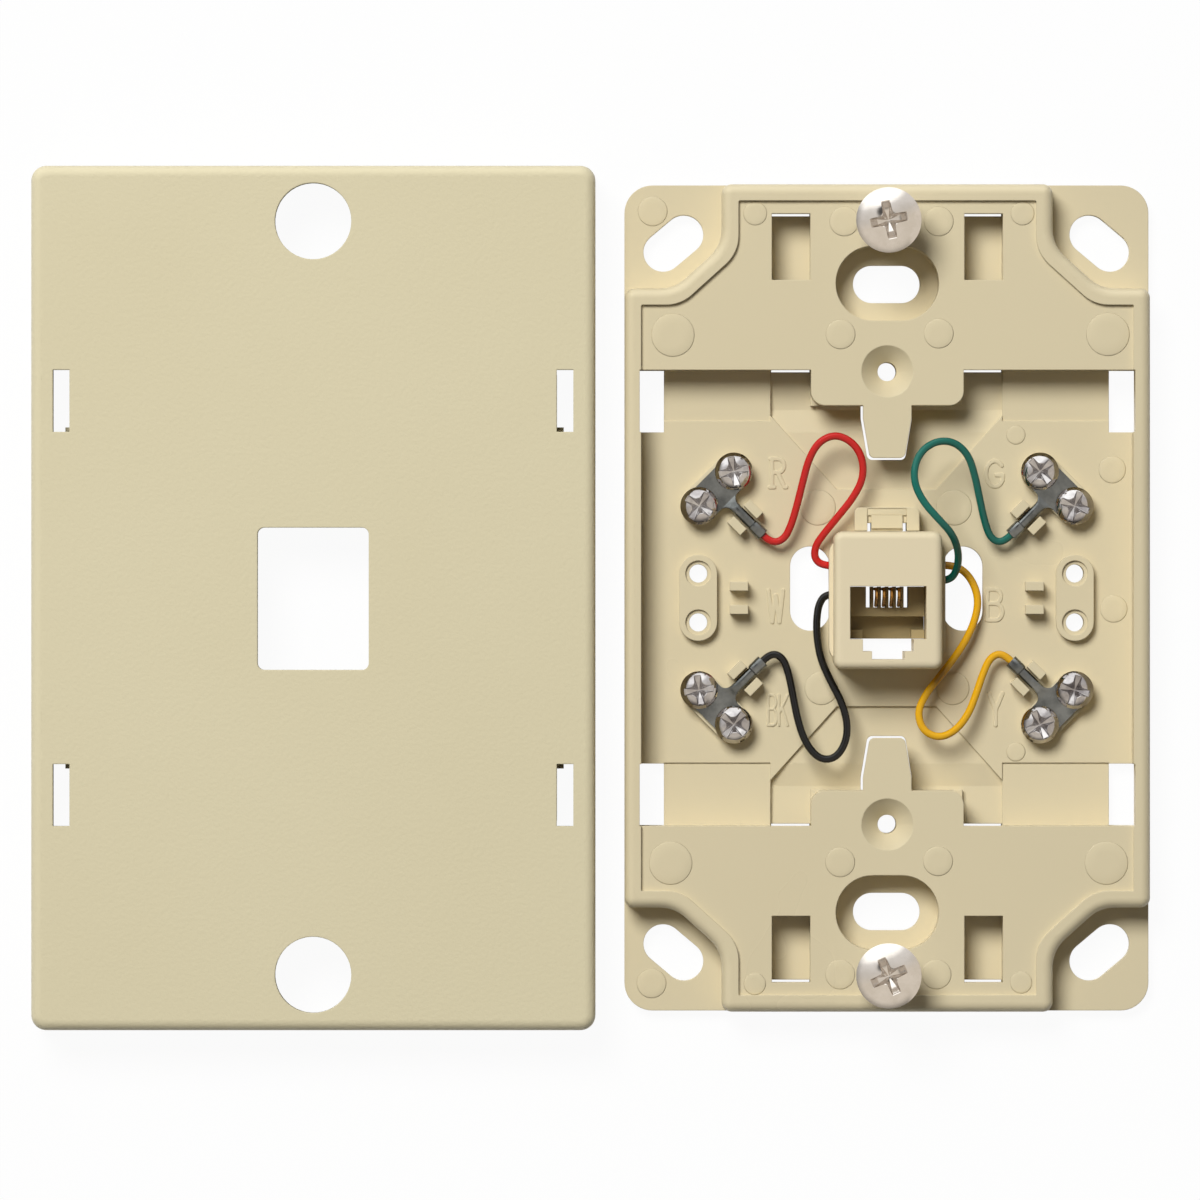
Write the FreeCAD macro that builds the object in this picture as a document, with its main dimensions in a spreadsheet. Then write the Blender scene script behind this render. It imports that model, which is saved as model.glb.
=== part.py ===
import FreeCAD, Part
import math
import os
import re
import Sketcher

V = FreeCAD.Vector
FORWARD = V(0, 0, 1)
LEVEL_TOLERANCE = 0.001
VOLUME_TOLERANCE = 0.01

# Telephone wall socket with its cover plate taken off and laid face up beside it.
# The base lies on its back: +Z points out of the wall, the origin is the centre of
# the base on its back plane. All sizes are millimetres.

doc = FreeCAD.newDocument("telephone_wall_socket")
sheet = doc.addObject("Spreadsheet::Sheet", "Sizes")

sizes = {
    # base, plan
    "base_width": 69.6,
    "base_height": 109.6,
    "ear_corner_radius": 3.7,
    "ear_end_width": 12.9,
    "ear_side_width": 6.6,
    "ear_height": 13.8,
    "ear_slope_angle": 42.1,
    "ear_bend_radius": 5.0,
    "body_corner_radius": 1.3,
    "rim_width": 2.2,
    "rim_round": 1.3,
    "rim_inner_radius": 0.2,
    # base, levels above the back plane
    "floor_thickness": 2.0,
    "shelf_level": 6.8,
    "shelf_thickness": 2.0,
    "rim_level": 7.4,
    "well_depth": 1.1,
    # shelves with their nose and tongue
    "shelf_edge": 30.2,
    "shelf_wall": 1.6,
    "nose_width": 20.2,
    "nose_reach": 4.7,
    "nose_radius": 1.9,
    "tongue_root_width": 6.4,
    "tongue_tip_width": 4.6,
    "tongue_neck": 1.7,
    "tongue_reach": 6.95,
    "tongue_radius": 0.75,
    "tongue_thickness": 2.0,
    "tongue_gap": 0.2,
    # fixing holes
    "wall_screw_spacing": 60.0,
    "wall_screw_hole": 2.5,
    "wall_screw_sink": 6.9,
    "wall_screw_boss": 8.4,
    "box_screw_spacing": 83.34,
    "box_slot_length": 8.9,
    "box_slot_width": 5.0,
    "box_recess_length": 13.7,
    "box_recess_width": 9.9,
    "box_recess_floor": 2.0,
    "box_recess_wall": 1.5,
    "ear_slot_spacing_across": 56.6,
    "ear_slot_spacing_along": 94.2,
    "ear_slot_length": 8.8,
    "ear_slot_width": 5.2,
    "ear_slot_angle": 40.0,
    # wire raceways under the shelves
    "raceway_centre": 12.75,
    "raceway_width": 5.1,
    "raceway_wall": 1.9,
    "raceway_slit": 0.2,
    "window_start": 42.1,
    "window_length": 8.8,
    # snap windows for the hooks of the cover
    "snap_start": 22.0,
    "snap_length": 8.2,
    "snap_window_width": 3.05,
    "snap_relief": 0.2,
    "snap_recess": 1.0,
    "snap_ledge_level": 3.4,
    # wells and the sloping side floors, levels above the back plane
    "well_width": 30.8,
    "well_shoulder": 24.2,
    "well_inner_width": 13.2,
    "well_inner_edge": 14.4,
    "well_level": 1.5,
    "well_dip_start": 22.0,
    "well_dip_end": 25.0,
    "well_end_level": 1.3,
    "well_fill_level": 0.4,
    "well_fill_lap": 0.5,
    "upper_slope_start": 23.5,
    "lower_slope_start": 21.9,
    "slope_drop": 0.25,
    # cable holes and the seat of the jack
    "cable_hole_spacing": 20.3,
    "cable_hole_rise": 1.25,
    "cable_hole_length": 11.2,
    "cable_hole_width": 5.3,
    "seat_clearance": 0.15,
    # terminal bosses
    "terminal_across": 45.2,
    "terminal_along": 29.0,
    "terminal_turn": 45.0,
    "spare_across": 50.0,
    "boss_length": 11.4,
    "boss_width": 5.0,
    "boss_height": 1.3,
    "terminal_spacing": 6.5,
    "terminal_hole": 2.4,
    "terminal_mouth": 3.4,
    "terminal_mouth_depth": 0.4,
    "guide_reach": 5.4,
    "guide_length": 2.4,
    "guide_width": 1.17,
    "guide_gap": 1.93,
    "guide_height": 2.65,
    # catch that holds the jack
    "catch_width": 8.6,
    "catch_reach": 3.1,
    "catch_arm": 1.7,
    "catch_bar": 1.05,
    "catch_bar_recess": 0.4,
    "catch_bar_lip": 0.15,
    "catch_radius": 0.66,
    "catch_height": 3.0,
    "catch_slot": 0.52,
    "catch_gap": 0.3,
    "catch_window_length": 1.05,
    "catch_clearance": 0.1,
    # jack housing
    "jack_drop": 0.3,
    "jack_width": 14.3,
    "jack_height": 18.2,
    "jack_front_level": 11.4,
    "jack_corner_radius": 1.2,
    "jack_edge_round": 1.0,
    "jack_body_width": 15.4,
    "jack_body_height": 16.6,
    "jack_body_level": 6.4,
    "jack_body_radius": 2.2,
    "jack_rear_width": 12.4,
    "jack_rear_height": 15.8,
    "jack_rear_level": 0.4,
    "opening_width": 10.05,
    "opening_height": 7.0,
    "opening_drop": 1.65,
    "latch_width": 6.7,
    "latch_height": 1.6,
    "latch_tail_width": 4.3,
    "latch_tail_height": 1.07,
    # contact carrier and its contact wires
    "insert_clearance": 0.05,
    "comb_level": 4.6,
    "comb_height": 4.0,
    "insert_level": 1.2,
    "shoulder_width": 1.75,
    "shoulder_height": 1.25,
    "shoulder_level": 4.4,
    "comb_pitch": 1.0,
    "comb_slot_width": 0.57,
    "comb_slot_height": 2.8,
    "contact_diameter": 0.45,
    "contact_inset": 0.35,
    "contact_start": 0.6,
    "contact_bend_level": 9.3,
    "contact_bend_radius": 0.5,
    "contact_lean": 15.5,
    "contact_tip_level": 5.0,
    # screws, studs and lugs
    "screw_head": 5.0,
    "screw_head_height": 1.75,
    "screw_head_round": 0.8,
    "screw_shank": 2.3,
    "screw_length": 3.4,
    "screw_cross": 2.6,
    "screw_cross_width": 0.55,
    "screw_cross_depth": 0.9,
    "stud_spacing": 99.6,
    "stud_head": 8.6,
    "stud_head_level": 13.1,
    "stud_head_height": 2.2,
    "stud_head_edge": 0.7,
    "stud_head_flat": 4.3,
    "stud_head_dome": 2.15,
    "stud_neck": 4.8,
    "stud_shank": 4.0,
    "stud_boss": 8.0,
    "stud_cross": 4.6,
    "stud_cross_width": 0.9,
    "stud_cross_depth": 1.2,
    "lug_thickness": 0.6,
    "lug_length": 10.2,
    "lug_width": 4.5,
    "lug_radius": 1.6,
    "lug_hole_clearance": 0.3,
    "lug_plate_shift": 0.15,
    "barrel_start": 1.45,
    "barrel_width": 1.4,
    "barrel_height": 1.5,
    "barrel_round": 0.6,
    "grip_width": 1.9,
    "grip_height": 2.0,
    "grip_round": 0.8,
    "grip_start": 6.75,
    "lug_reach": 8.7,
    "lug_drop": 0.2,
    # wires
    "wire_diameter": 1.0,
    "wire_hole_clearance": 0.2,
    "wire_hole_depth": 1.2,
    "wire_bend_share": 0.45,
    "red_entry_rise": 4.25,
    "green_entry_rise": 2.26,
    "yellow_entry_rise": 4.38,
    "black_entry_rise": 0.53,
    "low_entry_level": 3.1,
    "high_entry_level": 5.2,
    # cover plate
    "cover_width": 74.6,
    "cover_height": 114.3,
    "cover_depth": 9.9,
    "cover_wall": 2.0,
    "cover_face": 2.1,
    "cover_corner_radius": 2.0,
    "cover_round": 1.4,
    "cover_gap": 3.85,
    "cover_stud_hole": 10.1,
    "cover_window_width": 14.7,
    "cover_window_height": 18.8,
    "cover_window_radius": 0.9,
    "cover_slot_width": 2.2,
    "cover_slot_clearance": 0.05,
    "cover_window_drop": 0.1,
    "hook_width": 6.9,
    "hook_thickness": 1.8,
    "hook_catch": 0.9,
    "hook_catch_height": 2.0,
    "hook_gap": 0.4167,
    "hook_catch_lap": 0.45,
    "hook_catch_nose": 1.5,
    "hook_tip_level": 0.8,
}

for row, (alias, number) in enumerate(sizes.items(), start=1):
    sheet.set("A%d" % row, alias)
    sheet.set("B%d" % row, str(number))
    sheet.setAlias("B%d" % row, alias)
doc.recompute()

words = re.compile(r"\b(" + "|".join(sizes) + r")\b")


def cells(text):
    # An expression in plain names, with each name pointed at its cell.
    return words.sub(r"Sizes.\1", str(text))


def value(text):
    return float(sheet.evalExpression(cells(text)))


def bind(thing, field, text):
    thing.setExpression(field, cells(text))


def newBody(label, x="0", y="0", z="0", turn="0"):
    body = doc.addObject("PartDesign::Body", label)
    body.Label = label
    body.Placement = FreeCAD.Placement(V(0, 0, 0), FreeCAD.Rotation(FORWARD, value(turn)))
    bind(body, "Placement.Base.x", x)
    bind(body, "Placement.Base.y", y)
    bind(body, "Placement.Base.z", z)
    return body


def originPart(body, role):
    return [part for part in body.Origin.OriginFeatures if part.Role == role][0]


def newSketch(body, label, level="0", plane="XY_Plane"):
    sketch = body.newObject("Sketcher::SketchObject", label)
    sketch.AttachmentSupport = [(originPart(body, plane), "")]
    sketch.MapMode = "FlatFace"
    bind(sketch, "AttachmentOffset.Base.z", level)
    return sketch


def addRules(sketch, rules):
    # A rule is a constraint, or a constraint with the expression that drives it.
    numbers = sketch.addConstraint([rule[0] for rule in rules])
    for number, rule in zip(numbers, rules):
        if len(rule) > 1:
            bind(sketch, "Constraints[%d]" % number, rule[1])


def placeRules(item, point, x, y):
    return [
        (Sketcher.Constraint("DistanceX", -1, 1, item, point, value(x)), x),
        (Sketcher.Constraint("DistanceY", -1, 1, item, point, value(y)), y),
    ]


def link(kind, *ends):
    return (Sketcher.Constraint(kind, *ends),)


def drawOutline(sketch, corners):
    # Closed outline through corners (x, y) or (x, y, radius), each an expression.
    count = len(corners)
    places = [V(value(corner[0]), value(corner[1]), 0) for corner in corners]
    radii = [value(corner[2]) if len(corner) > 2 else 0.0 for corner in corners]
    arrive = []
    leave = []
    arcs = []
    for i in range(count):
        back = (places[i - 1] - places[i]).normalize()
        ahead = (places[(i + 1) % count] - places[i]).normalize()
        turn = math.pi - back.getAngle(ahead)
        reach = radii[i] * math.tan(turn / 2)
        arrive.append(places[i] + back * reach)
        leave.append(places[i] + ahead * reach)
        arcs.append(None)
        if radii[i] > 0:
            inward = (back + ahead).normalize()
            centre = places[i] + inward * (radii[i] / math.cos(turn / 2))
            left = (ahead.cross(back)).z > 0
            first, last = (arrive[i], leave[i]) if left else (leave[i], arrive[i])
            start = math.atan2(first.y - centre.y, first.x - centre.x)
            end = math.atan2(last.y - centre.y, last.x - centre.x)
            if end < start:
                end += 2 * math.pi
            arcs[i] = (Part.ArcOfCircle(Part.Circle(centre, FORWARD, radii[i]), start, end), left)
    rules = []
    sides = []
    for i in range(count):
        side = Part.LineSegment(leave[i], arrive[(i + 1) % count])
        sides.append(sketch.addGeometry(side, False))
    for i in range(count):
        before = sides[i - 1]
        after = sides[i]
        if arcs[i] is None:
            rules.append(link("Coincident", before, 2, after, 1))
            rules += placeRules(after, 1, corners[i][0], corners[i][1])
            continue
        arc = sketch.addGeometry(arcs[i][0], False)
        near, far = (1, 2) if arcs[i][1] else (2, 1)
        corner = sketch.addGeometry(Part.Point(places[i]), True)
        rules.append(link("Tangent", before, 2, arc, near))
        rules.append(link("Tangent", arc, far, after, 1))
        rules.append((Sketcher.Constraint("Radius", arc, radii[i]), corners[i][2]))
        rules.append(link("PointOnObject", corner, 1, before))
        rules.append(link("PointOnObject", corner, 1, after))
        rules += placeRules(corner, 1, corners[i][0], corners[i][1])
    addRules(sketch, rules)


def drawCircle(sketch, x, y, diameter):
    circle = Part.Circle(V(value(x), value(y), 0), FORWARD, value(diameter) / 2)
    ring = sketch.addGeometry(circle, False)
    rules = placeRules(ring, 3, x, y)
    rules.append((Sketcher.Constraint("Diameter", ring, value(diameter)), diameter))
    addRules(sketch, rules)


def drawSlot(sketch, x, y, length, width, angle="0"):
    # Obround: two half circles joined by straight sides, turned by angle.
    half = "(%s - (%s))/2" % (length, width)
    first = (
        "%s + %s*cos(%s)" % (x, half, angle),
        "%s + %s*sin(%s)" % (y, half, angle),
    )
    second = (
        "%s - %s*cos(%s)" % (x, half, angle),
        "%s - %s*sin(%s)" % (y, half, angle),
    )
    radius = value(width) / 2
    turn = math.radians(value(angle))
    across = V(-math.sin(turn), math.cos(turn), 0) * radius
    right = V(value(first[0]), value(first[1]), 0)
    left = V(value(second[0]), value(second[1]), 0)
    quarter = math.pi / 2
    rightArc = Part.ArcOfCircle(Part.Circle(right, FORWARD, radius), turn - quarter, turn + quarter)
    leftArc = Part.ArcOfCircle(Part.Circle(left, FORWARD, radius), turn + quarter, turn + 3 * quarter)
    lower = sketch.addGeometry(Part.LineSegment(left - across, right - across), False)
    nose = sketch.addGeometry(rightArc, False)
    upper = sketch.addGeometry(Part.LineSegment(right + across, left + across), False)
    tail = sketch.addGeometry(leftArc, False)
    rules = [
        link("Tangent", lower, 2, nose, 1),
        link("Tangent", nose, 2, upper, 1),
        link("Tangent", upper, 2, tail, 1),
        link("Tangent", tail, 2, lower, 1),
        link("Equal", nose, tail),
        (Sketcher.Constraint("Radius", nose, radius), "(%s)/2" % width),
    ]
    rules += placeRules(nose, 3, *first)
    rules += placeRules(tail, 3, *second)
    addRules(sketch, rules)


def rectangle(x0, y0, x1, y1, radius=None):
    corners = [(x0, y0), (x1, y0), (x1, y1), (x0, y1)]
    if radius is not None:
        corners = [corner + (radius,) for corner in corners]
    return corners


def centred(x, y, width, height, radius=None):
    return rectangle(
        "%s - (%s)/2" % (x, width),
        "%s - (%s)/2" % (y, height),
        "%s + (%s)/2" % (x, width),
        "%s + (%s)/2" % (y, height),
        radius,
    )


def turned(place, corners):
    # Corners given along and across a terminal, moved to the terminal's place.
    x, y, angle = place
    moved = []
    for corner in corners:
        along = "(%s)" % corner[0]
        across = "(%s)" % corner[1]
        moved.append((
            "%s + %s*cos(%s) - %s*sin(%s)" % (x, along, angle, across, angle),
            "%s + %s*sin(%s) + %s*cos(%s)" % (y, along, angle, across, angle),
        ) + tuple(corner[2:]))
    return moved


def pad(body, label, level, height, draw):
    sketch = newSketch(body, label + "_outline", level)
    draw(sketch)
    feature = body.newObject("PartDesign::Pad", label)
    feature.Profile = sketch
    bind(feature, "Length", height)
    return feature


def pocket(body, label, level, depth, draw, upward=False):
    # Cuts down from the level, or up from it.
    sketch = newSketch(body, label + "_outline", level)
    draw(sketch)
    feature = body.newObject("PartDesign::Pocket", label)
    feature.Profile = sketch
    feature.Reversed = upward
    bind(feature, "Length", depth)
    return feature


def edgesAt(feature, level):
    # Names of the edges that lie at one level.
    doc.recompute()
    height = value(level)
    names = []
    for number, edge in enumerate(feature.Shape.Edges, start=1):
        if all(abs(vertex.Z - height) < LEVEL_TOLERANCE for vertex in edge.Vertexes):
            names.append("Edge%d" % number)
    return names


def fillet(body, label, feature, edges, radius):
    rounding = body.newObject("PartDesign::Fillet", label)
    rounding.Base = (feature, edges)
    bind(rounding, "Radius", radius)
    return rounding


def revolve(body, label, corners):
    # Turned piece: the profile's x is the distance from the upright axis.
    sketch = newSketch(body, label + "_profile", "0", "XZ_Plane")
    drawOutline(sketch, corners)
    feature = body.newObject("PartDesign::Revolution", label)
    feature.Profile = sketch
    feature.ReferenceAxis = (sketch, ["V_Axis"])
    feature.Angle = 360
    return feature


def crossRecess(body, label, level, length, width, depth):
    # Driver recess: two crossing slots of the same length.
    def draw(sketch):
        half = "(%s)/2" % length
        arm = "(%s)/2" % width
        drawOutline(sketch, [
            (half, "-" + arm), (half, arm), (arm, arm), (arm, half),
            ("-" + arm, half), ("-" + arm, arm), ("-" + half, arm), ("-" + half, "-" + arm),
            ("-" + arm, "-" + arm), ("-" + arm, "-" + half), (arm, "-" + half), (arm, "-" + arm),
        ])
    return pocket(body, label, level, depth, draw)


def times(side, text):
    return "%d*(%s)" % (side, text)


BOTH = (1, -1)
CORNERS = [(across, along) for across in BOTH for along in BOTH]

# Terminals: name of the wire, sides of the base, and the turn of the lug.
TERMINALS = [
    ("red", -1, 1, "-terminal_turn"),
    ("green", 1, 1, "terminal_turn - 180"),
    ("yellow", 1, -1, "180 - terminal_turn"),
    ("black", -1, -1, "terminal_turn"),
]


def terminalPlace(across, along, angle):
    return (times(across, "terminal_across/2"), times(along, "terminal_along/2"), angle)


WIRED_PLACES = [terminalPlace(across, along, angle) for name, across, along, angle in TERMINALS]
SPARE_PLACES = [("-spare_across/2", "0", "0"), ("spare_across/2", "0", "180")]
ALL_PLACES = WIRED_PLACES + SPARE_PLACES

BOSS_LEVEL = "floor_thickness + boss_height"
HOLLOW_HEIGHT = "shelf_level - shelf_thickness"
JACK_CENTRE = "-jack_drop"


def bodyOutline(inset):
    # The raised body: a rectangle with its four corners cut back round the ears.
    # All sides are moved inward by the inset.
    side = "base_width/2 - (%s)" % inset
    end = "base_height/2 - (%s)" % inset
    ledge = "base_height/2 - ear_height - (%s)" % inset
    inner = "base_width/2 - ear_end_width - (%s)" % inset
    bendSide = "base_width/2 - ear_side_width - (%s)*tan(ear_slope_angle/2)" % inset
    bendEnd = (
        "base_height/2 - ear_height + (ear_end_width - ear_side_width)*tan(ear_slope_angle)"
        " - (%s)*tan(45 - ear_slope_angle/2)" % inset
    )
    return side, end, ledge, inner, bendSide, bendEnd


def raisedOutline(inset, cornerRadius, bendRadius):
    side, end, ledge, inner, bendSide, bendEnd = bodyOutline(inset)
    quarter = [
        (side, ledge, cornerRadius),
        (bendSide, ledge, bendRadius),
        (inner, bendEnd, bendRadius),
        (inner, end, cornerRadius),
    ]
    outline = []
    for across, along in ((1, 1), (-1, 1), (-1, -1), (1, -1)):
        corners = quarter if across * along > 0 else quarter[::-1]
        for x, y, radius in corners:
            outline.append((times(across, x), times(along, y), radius))
    return outline


def noseOutline(inset="0"):
    # Half width and tip of a shelf's nose, and the shelf's edge beside it.
    half = "nose_width/2 - (%s)" % inset
    reach = "shelf_edge - nose_reach + (%s)" % inset
    edge = "shelf_edge + (%s)" % inset
    return half, reach, edge


def makeBase():
    base = newBody("base")

    def floorPlate(sketch):
        drawOutline(sketch, centred("0", "0", "base_width", "base_height", "ear_corner_radius"))
    pad(base, "floor_plate", "0", "floor_thickness", floorPlate)

    def raisedBody(sketch):
        drawOutline(sketch, raisedOutline("0", "body_corner_radius", "ear_bend_radius"))
    block = pad(base, "raised_body", "0", "rim_level", raisedBody)

    fillet(base, "rim_edge", block, edgesAt(block, "rim_level"), "rim_round")

    def insideRim(sketch):
        drawOutline(sketch, raisedOutline("rim_width", "rim_inner_radius", "ear_bend_radius"))
    pocket(base, "inside_of_rim", "rim_level", "rim_level - shelf_level", insideRim)

    def wiringSpace(sketch):
        half, reach, edge = noseOutline()
        side = "base_width/2 - rim_width"
        outline = []
        for across, along in ((1, 1), (-1, 1), (-1, -1), (1, -1)):
            corners = [
                (times(across, side), times(along, edge)),
                (times(across, half), times(along, edge)),
                (times(across, half), times(along, reach), "nose_radius"),
            ]
            outline += corners if across * along > 0 else corners[::-1]
        drawOutline(sketch, outline)
    pocket(base, "wiring_space", "shelf_level", "shelf_level - floor_thickness", wiringSpace)

    def undersides(sketch):
        # Hollow behind each shelf, open at the back.
        side, end, ledge, inner, bendSide, bendEnd = bodyOutline("rim_width")
        half, reach, edge = noseOutline("shelf_wall")
        for along in BOTH:
            quarter = [(half, reach), (half, edge), (side, edge), (side, ledge),
                       (bendSide, ledge), (inner, bendEnd), (inner, end)]
            right = [(x, times(along, y)) for x, y in quarter]
            left = [(times(-1, x), times(along, y)) for x, y in quarter]
            drawOutline(sketch, right + left[::-1])
    pocket(base, "shelf_undersides", "0", HOLLOW_HEIGHT, undersides, upward=True)

    def shelfBosses(sketch):
        # Round bosses of the wall screws and studs, and the walls of the box recesses.
        for along in BOTH:
            wall = "2*box_recess_wall"
            drawSlot(sketch, "0", times(along, "box_screw_spacing/2"),
                     "(box_recess_length + %s)" % wall, "(box_recess_width + %s)" % wall)
    pad(base, "recess_walls", "0", HOLLOW_HEIGHT, shelfBosses)

    def screwBosses(sketch):
        for along in BOTH:
            drawCircle(sketch, "0", times(along, "wall_screw_spacing/2"), "wall_screw_boss")
    pad(base, "wall_screw_bosses", "0", HOLLOW_HEIGHT, screwBosses)

    def studBosses(sketch):
        for along in BOTH:
            drawCircle(sketch, "0", times(along, "stud_spacing/2"), "stud_boss")
    pad(base, "stud_bosses", "0", HOLLOW_HEIGHT, studBosses)

    def racewayWalls(sketch):
        near = "raceway_centre - raceway_width/2"
        far = "raceway_centre + raceway_width/2"
        start = "shelf_edge + shelf_wall/2"
        end = "base_height/2 - rim_width/2"
        for across, along in CORNERS:
            for inner, outer in (("%s - raceway_wall" % near, near), (far, "%s + raceway_wall" % far)):
                drawOutline(sketch, rectangle(
                    times(across, inner), times(along, start),
                    times(across, outer), times(along, end)))
    pad(base, "raceway_walls", "0", HOLLOW_HEIGHT, racewayWalls)

    def racewayFloors(sketch):
        inner = "raceway_centre - raceway_width/2 - raceway_wall/2"
        outer = "raceway_centre + raceway_width/2 + raceway_wall/2"
        for across, along in CORNERS:
            drawOutline(sketch, rectangle(
                times(across, inner), times(along, "window_start"),
                times(across, outer), times(along, "window_start + window_length - raceway_slit")))
    pad(base, "raceway_floors", "0", "floor_thickness", racewayFloors)

    def racewayMouths(sketch):
        # Way for the wires from the wiring space to under the shelf.
        for across, along in CORNERS:
            drawOutline(sketch, rectangle(
                times(across, "raceway_centre - raceway_width/2"),
                times(along, "shelf_edge - raceway_slit"),
                times(across, "raceway_centre + raceway_width/2"),
                times(along, "shelf_edge + shelf_wall + raceway_slit")))
    pocket(base, "raceway_mouths", "0", HOLLOW_HEIGHT, racewayMouths, upward=True)

    def windows(sketch):
        for across, along in CORNERS:
            drawOutline(sketch, rectangle(
                times(across, "raceway_centre - raceway_width/2"),
                times(along, "window_start"),
                times(across, "raceway_centre + raceway_width/2"),
                times(along, "window_start + window_length")))
    pocket(base, "raceway_windows", "shelf_level", "shelf_level - floor_thickness", windows)

    def tongueCorners(along, gap="0"):
        root = "shelf_edge - nose_reach"
        neck = root + " - tongue_neck"
        tip = root + " - tongue_reach - (%s)" % gap
        rootHalf = "tongue_root_width/2 + (%s)" % gap
        tipHalf = "tongue_tip_width/2 + (%s)" % gap
        start = root + " + shelf_wall/2" if gap == "0" else root
        right = [
            (rootHalf, times(along, start)),
            (rootHalf, times(along, neck)),
            (tipHalf, times(along, tip), "tongue_radius"),
        ]
        left = [(times(-1, corner[0]),) + corner[1:] for corner in right]
        return right + left[::-1]

    def tongues(sketch):
        for along in BOTH:
            drawOutline(sketch, tongueCorners(along))
    pad(base, "tongues", "shelf_level - tongue_thickness", "tongue_thickness", tongues)

    def wells(sketch):
        half, reach, edge = noseOutline()
        for along in BOTH:
            right = [(half, reach), (half, edge), ("well_width/2", edge), ("well_width/2", "well_shoulder"),
                     ("well_inner_width/2", "well_inner_edge")]
            placed = [(x, times(along, y)) for x, y in right]
            mirrored = [(times(-1, x), y) for x, y in placed]
            drawOutline(sketch, placed + mirrored[::-1])
    pocket(base, "wells", "floor_thickness", "well_depth", wells)

    # Well floors: level in the middle, then a dip, then a gentle rise to the shelf.
    dipLevel = "floor_thickness - well_depth"
    reach = "well_width/2 + well_fill_lap"
    middle = newSketch(base, "well_floors_profile", "-(%s)" % reach, "YZ_Plane")
    rise = newSketch(base, "well_rises_profile", "nose_width/2 - well_fill_lap", "YZ_Plane")
    for along in BOTH:
        drawOutline(middle, [
            (times(along, "well_inner_edge - well_fill_lap"), "well_level"),
            (times(along, "well_dip_start"), "well_level"),
            (times(along, "well_dip_end"), dipLevel),
            (times(along, "well_dip_end"), "well_fill_level"),
            (times(along, "well_inner_edge - well_fill_lap"), "well_fill_level"),
        ])
        drawOutline(rise, [
            (times(along, "well_dip_end"), dipLevel),
            (times(along, "shelf_edge - raceway_slit"), "well_end_level"),
            (times(along, "shelf_edge - raceway_slit"), "well_fill_level"),
            (times(along, "well_dip_end"), "well_fill_level"),
        ])
    fill = base.newObject("PartDesign::Pad", "well_floors")
    fill.Profile = middle
    bind(fill, "Length", "2*(%s)" % reach)
    ramp = base.newObject("PartDesign::Pad", "well_rises")
    ramp.Profile = rise
    bind(ramp, "Length", "%s - (nose_width/2 - well_fill_lap)" % reach)
    mirror = base.newObject("PartDesign::Mirrored", "well_rises_mirrored")
    mirror.Originals = [ramp]
    mirror.MirrorPlane = (originPart(base, "YZ_Plane"), [""])
    base.Tip = mirror

    # Side floors: a small step down, then a slope up to the foot of the shelf.
    slope = newSketch(base, "side_slopes_profile", "well_width/2", "YZ_Plane")
    for along, start in ((1, "upper_slope_start"), (-1, "lower_slope_start")):
        drawOutline(slope, [
            (times(along, start), "floor_thickness"),
            (times(along, start), "floor_thickness - slope_drop"),
            (times(along, "shelf_edge"), "floor_thickness"),
        ])
    cut = base.newObject("PartDesign::Pocket", "side_slopes")
    cut.Profile = slope
    cut.Reversed = True
    bind(cut, "Length", "base_width/2 - rim_width - snap_window_width - well_width/2")
    mirror = base.newObject("PartDesign::Mirrored", "side_slopes_mirrored")
    mirror.Originals = [cut]
    mirror.MirrorPlane = (originPart(base, "YZ_Plane"), [""])
    base.Tip = mirror

    def tongueSlots(sketch):
        for along in BOTH:
            drawOutline(sketch, tongueCorners(along, "tongue_gap"))
    pocket(base, "tongue_slots", "floor_thickness", "floor_thickness", tongueSlots)

    def bosses(sketch):
        for x, y, angle in ALL_PLACES:
            drawSlot(sketch, x, y, "boss_length", "boss_width", "90 + " + angle)
    pad(base, "terminal_bosses", "floor_thickness/2", "floor_thickness/2 + boss_height", bosses)

    def guides(sketch):
        for place in ALL_PLACES:
            for side in BOTH:
                drawOutline(sketch, turned(place, centred(
                    "guide_reach", times(side, "guide_gap/2 + guide_width/2"),
                    "guide_length", "guide_width")))
    pad(base, "wire_guides", "floor_thickness", "guide_height", guides)

    def holesAt(sketch, diameter):
        for place in ALL_PLACES:
            for side in BOTH:
                x, y = turned(place, [("0", times(side, "terminal_spacing/2"))])[0]
                drawCircle(sketch, x, y, diameter)
    pocket(base, "terminal_holes", BOSS_LEVEL, BOSS_LEVEL,
           lambda sketch: holesAt(sketch, "terminal_hole"))
    pocket(base, "terminal_mouths", BOSS_LEVEL, "terminal_mouth_depth",
           lambda sketch: holesAt(sketch, "terminal_mouth"))

    def seat(sketch):
        # Opening that the rear of the jack sits in.
        drawOutline(sketch, centred("0", JACK_CENTRE, "jack_rear_width + 2*seat_clearance",
                                    "jack_rear_height + 2*seat_clearance"))
    pocket(base, "jack_seat", "floor_thickness", "floor_thickness", seat)

    def cableHoles(sketch):
        for across in BOTH:
            drawSlot(sketch, times(across, "cable_hole_spacing/2"), "cable_hole_rise",
                     "cable_hole_length", "cable_hole_width", "90")
    pocket(base, "cable_holes", "floor_thickness", "floor_thickness", cableHoles)

    catchStart = "jack_height/2 - jack_drop + catch_clearance"
    catchEnd = catchStart + " + catch_reach"

    outer = "catch_width/2"
    arm = "catch_width/2 - catch_arm"
    block = arm + " - catch_slot"
    bar = catchEnd + " - catch_bar"

    def catchFrame(sketch):
        # Two arms and a cross bar, with the spring block between the arms.
        right = [
            (block, catchStart + " + catch_gap"),
            (block, bar),
            (arm, bar),
            (arm, catchStart),
            (outer, catchStart),
            (outer, catchEnd, "catch_radius"),
        ]
        left = [(times(-1, corner[0]),) + corner[1:] for corner in right]
        drawOutline(sketch, right + left[::-1])
    pad(base, "jack_catch", "floor_thickness", "catch_height", catchFrame)

    def catchBarFace(sketch):
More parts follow.
